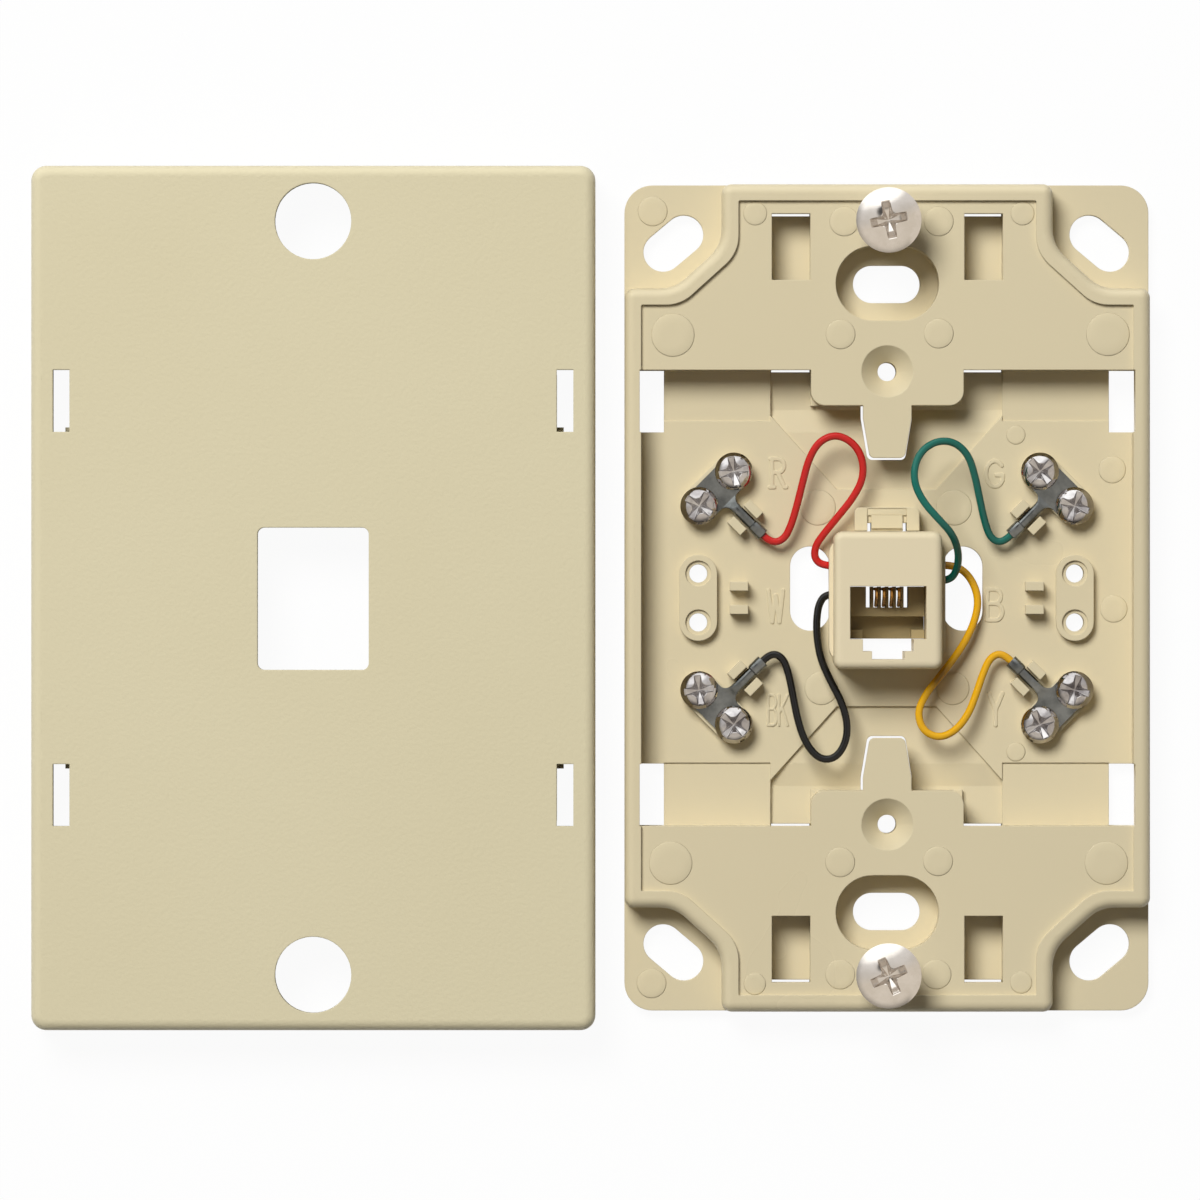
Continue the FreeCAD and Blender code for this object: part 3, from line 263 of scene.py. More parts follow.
def makePlastic(name, look):
    material, tree, shader = newMaterial(name)
    skin = placeGroup(tree, mouldedSkin, {"Grain Scale": look["grain"], "Fine Share": look["fine"]})
    mixInto(tree, skin.outputs["Tone"], look["dark"], look["light"], shader.inputs["Base Color"])
    rough = addNode(tree, "ShaderNodeMath", operation="ADD")
    rough.inputs[1].default_value = look["rough"]
    tree.links.new(skin.outputs["Roughness Shift"], rough.inputs[0])
    tree.links.new(rough.outputs["Value"], shader.inputs["Roughness"])
    shader.inputs["Specular IOR Level"].default_value = look.get("shine", plainShine)
    bumpInto(tree, shader, skin.outputs["Height"], look["bump"], look["depth"], look.get("edge", 0.0))
    return material


def makeMetal(name, look):
    material, tree, shader = newMaterial(name)
    shader.inputs["Metallic"].default_value = 1.0
    wear = placeGroup(tree, platedWear, {"Line Scale": look["lines"], "Stretch": look["stretch"]})
    cloud = wear.outputs["Cloud"]
    mixInto(tree, cloud, look["bright"], look["cloudy"], shader.inputs["Base Color"])
    tree.links.new(addRange(tree, cloud, 0.0, 1.0, *look["rough"]), shader.inputs["Roughness"])
    bumpInto(tree, shader, wear.outputs["Height"], look["bump"], look["depth"])
    return material


finishes = {name: makePlastic(name, look) for name, look in plastics.items()}
finishes.update({name: makeMetal(name, look) for name, look in metals.items()})
print("finishes made:", len(finishes))


# wires: free cords between the lugs and the sides of the jack

wires = {
    "diameter": 1.0,
    "roundness": 5, "alongSteps": 8,
    "lengths": {"red": 43.01, "green": 46.64, "yellow": 46.53, "black": 44.44},
    "routes": {
        "red": [
            (-16.448, 8.348, 4.1), (-15.35, 7.25, 4.1), (-13.6, 7.75, 4.2), (-12.6, 9.9, 4.5),
            (-11.8, 12.8, 4.9), (-11.1, 15.7, 5.3), (-10.4, 18.4, 5.7), (-9.1, 20.7, 6.0),
            (-6.9, 21.7, 6.0), (-4.6, 20.7, 5.9), (-3.25, 18.6, 5.7), (-3.15, 15.9, 5.5),
            (-4.4, 13.4, 5.2), (-6.4, 10.9, 4.7), (-8.3, 8.6, 4.1), (-9.5, 6.9, 3.6),
            (-9.6, 5.2, 3.2), (-8.4, 4.25, 3.1), (-6.5, 4.25, 3.1),
        ],
        "green": [
            (16.448, 8.348, 4.1), (15.35, 7.25, 4.1), (13.75, 7.85, 4.4), (12.9, 10.2, 5.2),
            (12.25, 13.1, 6.2), (11.6, 16.1, 7.2), (10.7, 18.9, 8.2), (8.9, 20.6, 9.0),
            (6.6, 20.8, 9.8), (4.5, 19.6, 10.6), (3.4, 17.4, 11.4), (3.45, 14.9, 12.0),
            (4.7, 12.5, 12.4), (6.6, 10.4, 12.5), (8.5, 8.4, 11.2), (9.4, 6.1, 8.6),
            (9.3, 3.8, 6.2), (8.3, 2.26, 5.2), (6.5, 2.26, 5.2),
        ],
        "yellow": [
            (16.448, -8.348, 4.1), (15.35, -7.25, 4.1), (13.7, -7.85, 4.2), (12.7, -10.1, 4.5),
            (11.8, -12.8, 4.9), (10.8, -15.4, 5.2), (9.1, -17.6, 5.4), (6.9, -18.6, 5.5),
            (4.7, -17.6, 5.4), (4.0, -15.1, 5.2), (5.2, -12.6, 5.0), (7.0, -10.4, 4.8),
            (8.9, -8.0, 4.5), (10.5, -5.6, 4.2), (11.7, -3.0, 3.9), (12.2, -0.3, 3.6),
            (11.5, 2.1, 3.3), (10.1, 3.8, 3.1), (8.4, 4.38, 3.1), (6.5, 4.38, 3.1),
        ],
        "black": [
            (-16.448, -8.348, 4.1), (-15.35, -7.25, 4.1), (-13.75, -7.9, 4.2), (-12.95, -10.3, 4.5),
            (-12.4, -13.3, 4.9), (-11.8, -16.4, 5.3), (-10.8, -19.3, 5.7), (-9.0, -21.4, 6.0),
            (-6.9, -21.3, 6.0), (-5.5, -19.3, 5.8), (-5.2, -16.7, 5.5), (-6.0, -13.8, 5.2),
            (-7.5, -11.0, 4.8), (-8.8, -8.1, 4.4), (-9.3, -5.2, 4.0), (-9.3, -2.7, 3.6),
            (-9.0, -0.8, 3.2), (-8.1, 0.53, 3.1), (-6.5, 0.53, 3.1),
        ],
    },
}


def makeWire(colour):
    route = wires["routes"][colour]
    line = bpy.data.curves.new("insulated_wire_" + colour, "CURVE")
    line.dimensions = "3D"
    line.bevel_depth = wires["diameter"] * mm / 2
    line.bevel_resolution = wires["roundness"]
    line.use_fill_caps = True
    spline = line.splines.new("NURBS")
    spline.points.add(len(route) - 1)
    for point, (x, y, z) in zip(spline.points, route):
        point.co = (x * mm, y * mm, z * mm, 1)
    spline.order_u = 3
    spline.use_endpoint_u = True
    spline.resolution_u = wires["alongSteps"]
    line.resolution_u = wires["alongSteps"]
    wire = bpy.data.objects.new("insulated_wire_" + colour, line)
    bpy.context.scene.collection.objects.link(wire)
    line.materials.append(finishes[colour + "Insulation"])
    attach(wire, "root")
    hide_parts("wire_" + colour)


for colour in terminalNames:
    makeWire(colour)
print("wires laid:", len(terminalNames))


# surfaces on grids of two parameters

def signedVolume(points, faceGroups):
    # sum of the corner volumes under each face, positive where the faces point outwards
    total = 0.0
    for face in faceGroups:
        a, b, c = points[face[:, 0]], points[face[:, 1]], points[face[:, 2]]
        total += np.einsum("ij,ij->i", a, np.cross(b, c)).sum()
        if face.shape[1] == 4:
            d = points[face[:, 3]]
            total += np.einsum("ij,ij->i", a, np.cross(c, d)).sum()
    return total


def gridShell(grid, startPole, endPole):
    # A grid of points, rows by columns, whose columns run round a closed ring.
    # The first and the last row each close onto a pole.
    rows, columns = grid.shape[:2]
    r, c = np.meshgrid(np.arange(rows - 1), np.arange(columns), indexing="ij")
    nextC = (c + 1) % columns
    quads = np.stack([r * columns + c, r * columns + nextC, (r + 1) * columns + nextC,
                      (r + 1) * columns + c], axis=-1).reshape(-1, 4)
    ring = np.arange(columns)
    nextRing = (ring + 1) % columns
    last = (rows - 1) * columns
    pole = rows * columns
    points = np.vstack([grid.reshape(-1, 3), [startPole], [endPole]])
    triangles = np.vstack([np.stack([np.full(columns, pole), nextRing, ring], axis=-1),
                           np.stack([np.full(columns, pole + 1), last + ring, last + nextRing], axis=-1)])
    centred = points - points.mean(axis=0)
    if signedVolume(centred, [quads, triangles]) < 0:
        quads, triangles = quads[:, ::-1], triangles[:, ::-1]
    return points, quads, triangles


def makePiece(name, shells, finish, replaced=(), smoothAngle=35):
    # one mesh object out of several closed shells, in millimetres
    points, faces, start = [], [], 0
    for shellPoints, quads, triangles in shells:
        points.append(shellPoints)
        faces += (quads + start).tolist() + (triangles + start).tolist()
        start += len(shellPoints)
    mesh = bpy.data.meshes.new(name)
    mesh.from_pydata((np.vstack(points) * mm).tolist(), [], faces)
    mesh.shade_smooth()
    mesh.set_sharp_from_angle(angle=math.radians(smoothAngle))
    mesh.materials.append(finishes[finish])
    piece = bpy.data.objects.new(name, mesh)
    bpy.context.scene.collection.objects.link(piece)
    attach(piece, "root")
    if replaced:
        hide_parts(*replaced)


# screws: a domed head with a cross recess on a threaded shank

terminalScrew = {
    "headRadius": 2.5, "headHeight": 1.75, "rimHeight": 0.55, "underside": 3.9, "domePower": 2.3,
    "crossReach": 1.9, "crossHalfWidth": 0.46, "crossCentre": 0.98, "crossDepth": 1.45, "crossTaper": 0.7,
    "lip": 0.1,
    "shankRadius": 1.15, "shankBottom": 0.5, "threadPitch": 0.7, "threadDepth": 0.2,
    "threadSharpness": 1.3, "threadCrest": 0.15, "threadStart": 0.15, "threadEnd": 0.3, "threadRows": 34,
    "point": 0.6,  # radius of the shank's end as a share of its radius
    "turns": [12, 58, -20, 40, 25, 75, 8, 50],  # how far each screw is turned, degrees
}

hangingStud = {
    "headRadius": 4.3, "headHeight": 2.2, "rimHeight": 0.75, "underside": 13.1, "domePower": 2.3,
    "crossReach": 2.42, "crossHalfWidth": 0.58, "crossCentre": 1.02, "crossDepth": 2.0, "crossTaper": 0.66,
    "lip": 0.14,
    "neckRadius": 2.4, "neckFillet": 0.45, "shankRadius": 2.0, "shoulder": 6.8, "shoulderRound": 0.1,
    "shankBottom": 0.0, "endRound": 0.15,
    "turns": [11.5, 24],
}

heads = {  # what both kinds of head share
    "steps": 216,
    "wingPower": 14, "centrePower": 10,  # how sharp the cross is at its wings' ends and near the middle
    "footWidth": 0.72, "footCentre": 0.6,  # the foot of the recess as a share of its mouth
    "floorRise": 0.38, "floorPower": 1.5,  # how much of the depth its floor rises to the sides
    "floorRows": (0.25, 0.55, 0.8, 1.0), "wallRows": (0.35, 0.7, 0.93),
    "domeRows": (0.0, 0.04, 0.12, 0.25, 0.4, 0.55, 0.7, 0.82, 0.92, 1.0),
    "underRound": 0.12,
}


def crossOutline(angle, reach, halfWidth, centre):
    # distance from the middle to the edge of a cross with four wings: the wing's end and side blended
    # by a high power, then widened near the middle to a round of radius centre
    folded = np.abs((angle + math.pi / 4) % (math.pi / 2) - math.pi / 4)
    sharp, blend = heads["wingPower"], heads["centrePower"]
    wing = ((np.cos(folded) / reach) ** sharp + (np.sin(folded) / halfWidth) ** sharp) ** (-1 / sharp)
    return (wing ** blend + centre ** blend) ** (1 / blend)


def roundAngles():
    return np.linspace(0, 2 * math.pi, heads["steps"], endpoint=False)


def domeHeight(radius, look):
    # height of the head over its underside: the rim, and above it a rise that is full in the middle and
    # shrinks with a power of the share of the radius
    share = np.clip(radius / look["headRadius"], 0, 1)
    rise = look["headHeight"] - look["rimHeight"]
    return look["rimHeight"] + rise * (1 - share ** look["domePower"])


def screwHead(look, turn):
    # Rows run from the middle of the recess out over its wall and the dome, and down to the underside.
    # Each row's radius goes from the cross outline to a circle as the row nears the rim.
    angle = roundAngles()
    local = angle - math.radians(turn)
    mouth = crossOutline(local, look["crossReach"], look["crossHalfWidth"], look["crossCentre"])
    foot = crossOutline(local, look["crossReach"] * look["crossTaper"],
                        look["crossHalfWidth"] * heads["footWidth"],
                        look["crossCentre"] * heads["footCentre"])
    rows = []
    for share in heads["floorRows"]:
        depth = look["crossDepth"] * (1 - heads["floorRise"] * share ** heads["floorPower"])
        rows.append((foot * share, look["headHeight"] - depth + 0 * angle))
    floorLevel = rows[-1][1]
    mouthLevel = domeHeight(mouth, look)
    for share in heads["wallRows"]:
        rows.append((foot + (mouth - foot) * share, floorLevel + (mouthLevel - floorLevel) * share))
    lip = look["lip"]
    rows.append((mouth, mouthLevel - lip))  # where the chamfered lip starts
    for share in heads["domeRows"]:
        radius = mouth + lip + (look["headRadius"] - mouth - lip) * share
        rows.append((radius, domeHeight(radius, look)))
    rows.append((look["headRadius"] + 0 * angle, heads["underRound"] + 0 * angle))
    rows.append((look["headRadius"] - heads["underRound"] + 0 * angle, 0 * angle))
    return np.stack([np.stack([r * np.cos(angle), r * np.sin(angle), z + look["underside"]], axis=-1)
                     for r, z in rows])


def ringRow(radius, level):
    angle = roundAngles()
    return np.stack([radius * np.cos(angle), radius * np.sin(angle), level + 0 * angle], axis=-1)


def threadRows(look):
    # a helical thread: the radius falls and rises once each pitch, shifted by the angle round the screw
    angle = roundAngles()
    levels = np.linspace(look["underside"] - look["threadStart"], look["shankBottom"] + look["threadEnd"],
                         look["threadRows"])
    phase = (levels[:, None] / look["threadPitch"] + angle[None, :] / (2 * math.pi)) % 1
    groove = np.clip(np.abs(2 * phase - 1) * look["threadSharpness"] - look["threadCrest"], 0, 1)
    radius = look["shankRadius"] - look["threadDepth"] * groove
    return np.stack([radius * np.cos(angle), radius * np.sin(angle),
                     np.broadcast_to(levels[:, None], radius.shape)], axis=-1)


def placedShell(grid, look, x, y):
    # the turned rows moved to their place, closed in the middle of the recess and of the shank's end
    top = (x, y, look["underside"] + look["headHeight"] - look["crossDepth"])
    return gridShell(grid + np.array([x, y, 0.0]), startPole=top, endPole=(x, y, look["shankBottom"]))


def centreOf(node):
    low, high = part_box(node)
    return (low.x + high.x) / 2 / mm, (low.y + high.y) / 2 / mm


def makeTerminalScrew(node, turn):
    look = terminalScrew
    x, y = centreOf(node)
    grid = np.vstack([screwHead(look, turn), ringRow(look["shankRadius"], look["underside"])[None],
                      threadRows(look),
                      ringRow(look["shankRadius"] * look["point"], look["shankBottom"])[None]])
    shell = placedShell(grid, look, x, y)
    # the screw metal is partly painted shade, darker than the studs'
    makePiece("pan_head_" + node, [shell], "screwNickelPaintedShade", [node])


def makeHangingStud(node, turn):
    look = hangingStud
    x, y = centreOf(node)
    neck, fillet, under = look["neckRadius"], look["neckFillet"], look["underside"]
    shank, shoulder, bottom = look["shankRadius"], look["shoulder"], look["shankBottom"]
    profile = [(neck + fillet, under), (neck + fillet * 0.3, under - fillet * 0.3), (neck, under - fillet),
               (neck, shoulder + look["shoulderRound"]), (neck - look["shoulderRound"], shoulder),
               (shank, shoulder), (shank, bottom + look["endRound"]), (shank - look["endRound"], bottom)]
    grid = np.vstack([screwHead(look, turn), [ringRow(radius, level) for radius, level in profile]])
    shell = placedShell(grid, look, x, y)
    makePiece("turned_" + node, [shell], "studChrome", [node])


turns = iter(terminalScrew["turns"])
for colour in terminalNames:
    for number in (1, 2):
        makeTerminalScrew("terminal_screw_%s_%d" % (colour, number), next(turns))
for node, turn in zip(("phone_stud_top", "phone_stud_bottom"), hangingStud["turns"]):
    makeHangingStud(node, turn)
print("screws and studs turned")


# lugs: a plate under two screws, whose neck rolls into a barrel round the wire

lug = {
    "plateLow": 3.3, "plateTop": 3.9, "plateStart": -2.1, "plateEnd": 2.35, "plateHalf": 5.1, "corner": 1.5,
    "cornerStart": 10, "cornerRows": 6,  # the angle in degrees at which an outer corner starts
    "neckFillet": 1.0, "neckRows": 7, "neckRise": 0.8, "neckStraight": 0.5,
    "barrelMiddle": 5.0, "barrelHalf": 0.68, "barrelTop": 4.75,
    "gripStart": 6.7, "gripHalf": 0.88, "gripLow": 3.1, "gripTop": 5.02, "reach": 8.7,
    "stepLength": 0.14, "stepWidth": 0.97, "gripFull": 0.4,  # how the grip swells out of the barrel
    "gripRound": 0.04, "endRound": 0.06, "wall": 0.22, "mouthDepth": 0.5,
    "steps": 56,
    # how square the section is: 2 is round
    "platePower": 9, "fillPower": 3.5, "neckPower": 2.5, "barrelPower": 2.3, "gripPower": 2.4,
    "places": {"red": (-22.6, 14.5, -45), "green": (22.6, 14.5, -135),
               "yellow": (22.6, -14.5, 135), "black": (-22.6, -14.5, 45)},
}


def lugRows():
    # Each row: distance along the lug, half width, lowest and highest level, and how square the section is.
    # The plate's corners and the neck's inner corners are quarter circles in plan.
    low, top, fillet, half = lug["plateLow"], lug["plateTop"], lug["neckFillet"], lug["barrelHalf"]
    plateHalf, corner, square = lug["plateHalf"], lug["corner"], lug["platePower"]
    rows = []
    for a in np.radians(np.linspace(90, lug["cornerStart"], lug["cornerRows"])):
        rows.append((lug["plateStart"] + corner * (1 - math.sin(a)),
                     plateHalf - corner * (1 - math.sin(math.pi / 2 - a)), low, top, square))
    for a in np.radians(np.linspace(0, 90, lug["cornerRows"])):
        rows.append((lug["plateEnd"] - corner * (1 - math.sin(a)),
                     plateHalf - corner * (1 - math.cos(a)), low, top, square))
    for a in np.radians(np.linspace(0, 90, lug["neckRows"])):
        share = a / (math.pi / 2)
        rows.append((lug["plateEnd"] + fillet * (1 - math.cos(a)), half + fillet * (1 - math.sin(a)),
                     low, top + (lug["barrelTop"] - top) * lug["neckRise"] * share ** 2,
                     square - (square - lug["fillPower"]) * share))
    neckEnd = lug["plateEnd"] + fillet + lug["neckStraight"]
    rows += [(neckEnd, half, low, lug["barrelTop"], lug["neckPower"]),
             (lug["barrelMiddle"], half, low, lug["barrelTop"], lug["barrelPower"]),
             (lug["gripStart"], half, low, lug["barrelTop"], lug["barrelPower"])]
    gripLow, gripTop, gripHalf, square = lug["gripLow"], lug["gripTop"], lug["gripHalf"], lug["gripPower"]
    edge, wall, start, reach = lug["gripRound"], lug["wall"], lug["gripStart"], lug["reach"]
    rows += [(start + lug["stepLength"], gripHalf * lug["stepWidth"], gripLow, gripTop - edge, square),
             (start + lug["gripFull"], gripHalf, gripLow, gripTop, square),
             (reach - lug["endRound"], gripHalf, gripLow, gripTop, square),
             (reach, gripHalf - edge, gripLow + edge, gripTop - edge, square),
             (reach, gripHalf - wall, gripLow + wall, gripTop - wall, square),
             (reach - lug["mouthDepth"], gripHalf - wall, gripLow + wall, gripTop - wall, square)]
    return rows


def makeLug(colour):
    # section: a superellipse, nearly a rectangle on the plate and nearly round on the barrel,
    # so the cosine and sine of each angle are raised to 2 over the power, with their signs kept
    angle = np.linspace(0, 2 * math.pi, lug["steps"], endpoint=False)
    cx, cy, turn = lug["places"][colour]
    c, s = math.cos(math.radians(turn)), math.sin(math.radians(turn))

    def placed(along, across, level):
        along, across, level = np.broadcast_arrays(along, across, level)
        return np.stack([cx + along * c - across * s, cy + along * s + across * c, level], axis=-1)

    rings = []
    for along, half, low, top, power in lugRows():
        across, up = [np.sign(wave) * np.abs(wave) ** (2 / power) for wave in (np.cos(angle), np.sin(angle))]
        rings.append(placed(along, half * across, (low + top) / 2 + (top - low) / 2 * up))
    middle = (lug["gripLow"] + lug["gripTop"]) / 2
    start = placed(lug["plateStart"], 0.0, (lug["plateLow"] + lug["plateTop"]) / 2)
    end = placed(lug["reach"] - lug["mouthDepth"], 0.0, middle)
    shell = gridShell(np.stack(rings), startPole=start, endPole=end)
    # the lug's metal is darkened as a painted dark reflection
    makePiece("crimped_lug_" + colour, [shell], "tinnedLugPaintedDark", ["lug_" + colour])


for colour in terminalNames:
    makeLug(colour)
print("lugs rolled:", len(terminalNames))


# raised letters beside the terminals

letters = {
    "level": 2.0, "height": 0.17, "slope": 0.12, "spacing": 0.05,
    "width": 0.54, "narrow": 0.36, "narrowBelow": 1.5,  # strokes of wide letters and of narrow ones
    "margin": 0.1, "sunk": 0.02, "under": 0.3,  # the sheet round the strokes, and its depths below the surface
    "places": [  # strokes, middle, size
        ("R", (-14.4, 16.6), (2.0, 3.75)),
        ("G", (14.4, 16.5), (2.36, 3.4)),
        ("W", (-14.7, -1.1), (1.93, 4.2)),
        ("B", (14.4, -0.9), (2.0, 4.1)),
        ("B", (-15.15, -14.9), (1.15, 4.0)),
        ("K", (-13.7, -14.9), (1.15, 4.0)),
        ("Y", (14.5, -14.8), (1.8, 4.2)),
    ],
}


def bend(cx, cy, rx, ry, start, end, count=12):
    # part of an ellipse, angles in degrees
    angle = np.radians(np.linspace(start, end, count))
    return np.stack([cx + rx * np.cos(angle), cy + ry * np.sin(angle)], axis=-1)


def strokesOf(letter):
    # centrelines in a unit square, and for serifs a little past it
    def line(*points):
        return np.array(points, float)

    if letter == "R":
        bowl = np.vstack([[(0, 1), (0.5, 1)], bend(0.5, 0.76, 0.4, 0.24, 90, -90), [(0.1, 0.52)]])
        return [line((0.1, 0), (0.1, 1)), bowl, line((0.48, 0.52), (0.92, 0), (1.05, 0)),
                line((-0.05, 0), (0.25, 0))]
    if letter == "G":
        return [np.vstack([bend(0.5, 0.5, 0.5, 0.5, 40, 330, 26), [(0.95, 0.45), (0.58, 0.45)]])]
    if letter == "W":
        return [line((0, 1), (0.25, 0), (0.5, 0.85), (0.75, 0), (1, 1))]
    if letter == "B":
        return [line((0, 0), (0, 1)),
                np.vstack([[(0, 1), (0.5, 1)], bend(0.5, 0.77, 0.4, 0.23, 90, -90), [(0, 0.54)]]),
                np.vstack([[(0.3, 0.54), (0.55, 0.54)], bend(0.55, 0.27, 0.45, 0.27, 90, -90), [(0, 0)]])]
    if letter == "K":
        return [line((0, 0), (0, 1)), line((1, 1), (0.05, 0.42)), line((0.35, 0.6), (1, 0))]
    return [line((0, 1), (0.5, 0.48)), line((1, 1), (0.5, 0.48)), line((0.5, 0.5), (0.5, 0))]


def raisedLetter(paths, width):
    # A sheet over the whole letter, whose height falls off with the distance to the nearest stroke:
    # flat on top, a soft slope at the stroke's side, and just under the surface elsewhere.
    # Each row runs over the sheet and back underneath, so that the rows make a closed body.
    margin = width / 2 + letters["slope"] + letters["margin"]
    low = np.min([path.min(axis=0) for path in paths], axis=0) - margin
    high = np.max([path.max(axis=0) for path in paths], axis=0) + margin
    xs = np.arange(low[0], high[0], letters["spacing"])
    ys = np.arange(low[1], high[1], letters["spacing"])
    y, x = np.meshgrid(ys, xs, indexing="ij")
    nearest = np.full(x.shape, np.inf)
    for path in paths:
        for a, b in zip(path[:-1], path[1:]):
            run = b - a
            squared = max(run @ run, 1e-12)  # two points of a stroke can be the same
            along = np.clip(((x - a[0]) * run[0] + (y - a[1]) * run[1]) / squared, 0, 1)
            nearest = np.minimum(nearest, np.hypot(x - a[0] - along * run[0], y - a[1] - along * run[1]))
    inside = np.clip((width / 2 + letters["slope"] / 2 - nearest) / letters["slope"], 0, 1)
    soft = inside * inside * (3 - 2 * inside)
    level, sunk, under = letters["level"], letters["sunk"], letters["under"]
    over = np.stack([x, y, level - sunk + (letters["height"] + sunk) * soft], axis=-1)
    back = np.stack([x, y, np.full(x.shape, level - under)], axis=-1)[:, ::-1]
    ends = [(x.mean(), ys[row], level - under / 2) for row in (0, -1)]
    return gridShell(np.concatenate([over, back], axis=1), startPole=ends[0], endPole=ends[1])


def makeLetters():
    shells = []
    for letter, (x, y), size in letters["places"]:
        width = letters["narrow"] if size[0] < letters["narrowBelow"] else letters["width"]
        paths = [(stroke - 0.5) * size + (x, y) for stroke in strokesOf(letter)]
        shells.append(raisedLetter(paths, width))
    makePiece("terminal_letters", shells, "ivoryBase", smoothAngle=60)


makeLetters()
print("letters raised")


# small fillings that raise the foot of the slots round the jack's clip

fillings = {
    "round": 0.06, "sideSteps": 8,
    "blocks": [  # low corner, high corner
        ((-2.62, 9.95, 2.6), (-2.06, 10.97, 4.6)), ((2.06, 9.95, 2.6), (2.62, 10.97, 4.6)),
        ((-2.1, 8.88, 2.6), (2.1, 9.22, 4.7)), ((-2.62, 10.93, 2.6), (2.62, 11.87, 4.9)),
    ],
}


def block(low, high):
    # a box whose upper edges are rounded off a little: rectangular rows from the bottom to the top
    middle = (np.array(low) + high) / 2
    half = (np.array(high) - low) / 2
    edge, bottom, top = fillings["round"], low[2], high[2]
    side = np.linspace(-1, 1, fillings["sideSteps"] + 1)[:-1]
    one = np.ones_like(side)
    ring = np.concatenate([np.stack(pair, axis=-1)
                           for pair in ((side, -one), (one, side), (-side, one), (-one, -side))])
    rows = []
    for inset, level in ((0, bottom), (0, top - edge), (edge * 0.3, top - edge * 0.3), (edge, top)):
        flat = middle[:2] + ring * (half[:2] - inset)
        rows.append(np.column_stack([flat, np.full(len(ring), level)]))
    return gridShell(np.stack(rows), startPole=(*middle[:2], bottom), endPole=(*middle[:2], top))


makePiece("clip_fillings", [block(low, high) for low, high in fillings["blocks"]], "ivoryBase")
print("fillings set:", len(fillings["blocks"]))


# faint round marks of the mould's pins

pinMarks = {
    "height": 0.04, "slope": 0.14, "steps": 64,
    "levels": {"shelf": 6.8, "floor": 2.0, "ear": 2.0},
    "places": [  # surface, x, y, radius
        ("shelf", -17.5, 50.9, 1.6), ("shelf", -5.7, 49.85, 2.0), ("shelf", 6.8, 49.85, 2.0),
        ("shelf", 17.9, 50.9, 1.6), ("shelf", -28.4, 34.8, 2.9), ("shelf", -6.2, 34.9, 2.0),
        ("shelf", 6.8, 35.0, 2.0), ("shelf", 29.2, 34.9, 2.9), ("shelf", -28.7, -35.1, 2.9),
        ("shelf", -6.25, -35.0, 2.0), ("shelf", 6.7, -34.85, 2.0), ("shelf", 29.0, -35.1, 2.9),
        ("shelf", -17.55, -51.1, 1.5), ("shelf", -6.25, -49.85, 2.0), ("shelf", 6.5, -49.85, 2.0),
        ("shelf", 17.7, -50.9, 1.5),
        ("floor", -9.1, 12.0, 2.4), ("floor", 9.0, 12.0, 2.4), ("floor", -8.65, -12.0, 2.25),
        ("floor", 8.8, -12.0, 2.25), ("floor", 17.2, 21.65, 1.3), ("floor", 17.2, -20.45, 1.3),
        ("floor", 30.0, 17.05, 1.85), ("floor", 30.2, -1.45, 1.85),
        ("ear", -31.05, 51.36, 2.0), ("ear", -31.2, -51.2, 2.0),
    ],
}


def pinMark(x, y, level, radius):
    # a flat disc hardly higher than the surface, whose edge slopes down into it
    height, slope, top = pinMarks["height"], pinMarks["slope"], level + pinMarks["height"]
    rows = [(radius * 0.5, top), (radius - slope, top),
            (radius - slope * 0.4, top - height * 0.35), (radius, level - height * 0.4)]
    angle = np.linspace(0, 2 * math.pi, pinMarks["steps"], endpoint=False)
    grid = np.stack([np.stack([x + r * np.cos(angle), y + r * np.sin(angle), z + 0 * angle], axis=-1)
                     for r, z in rows])
    return gridShell(grid, startPole=(x, y, top), endPole=(x, y, level - height * 0.5))


def makePinMarks():
    shells = [pinMark(x, y, pinMarks["levels"][surface], radius)
              for surface, x, y, radius in pinMarks["places"]]
    makePiece("mould_pin_marks", shells, "ivoryBase", smoothAngle=60)


makePinMarks()
print("mould marks set")


# finishes of the CAD parts that stay as they are

cadFinishes = {
    "base": "ivoryBase", "cover_plate": "ivoryCover", "jack_housing": "ivoryJack",
    # the carrier takes the ivory darkened as painted shade
    "contact_carrier": "ivoryCarrierPaintedShade", "contact_wire_1": "contactGold", "contact_wire_2": "contactGold",
    "contact_wire_3": "contactGold", "contact_wire_4": "contactGold",
}
for name, finish in cadFinishes.items():
    nodes[name].data.materials.clear()
    nodes[name].data.materials.append(finishes[finish])
print("CAD parts finished")


# floor, light and surroundings

studio = {  # lengths in metres, angles in degrees
    "floorSize": 4.0, "floorColour": (0.85, 0.85, 0.84), "floorWhite": 0.95, "middle": (-0.038, 0.0, 0.0),
    "lampWay": (-0.33, 0.58, 1.0), "lampDistance": 1.9, "lampSize": 0.95, "lampPower": 39.5,
    "skyFill": (0.05, 0.044, 0.032),
    # what shiny parts mirror: the way to the white box, the strength and the colours from its far side
    # up to it, the dark spot above, and the side on which it is dark near the horizon
    "ceilingWay": (-0.3, 0.9, 0.12), "ceiling": 1.8,
    "spotWay": (-0.22, 0.36, 1.0), "spotAngle": (6.0, 15.0), "spotDark": 0.12,
    "darkWay": (-0.65, -0.75, 0.0), "darkSide": (-0.1, 0.5), "darkHeight": (0.05, 0.5),
    "darkLevel": 0.05,
    "ceilingColours": [(0.0, (0.47, 0.43, 0.375)), (0.3, (0.43, 0.41, 0.385)),
                       (0.62, (0.52, 0.51, 0.5)), (0.78, (1.0, 1.0, 0.98))],
}


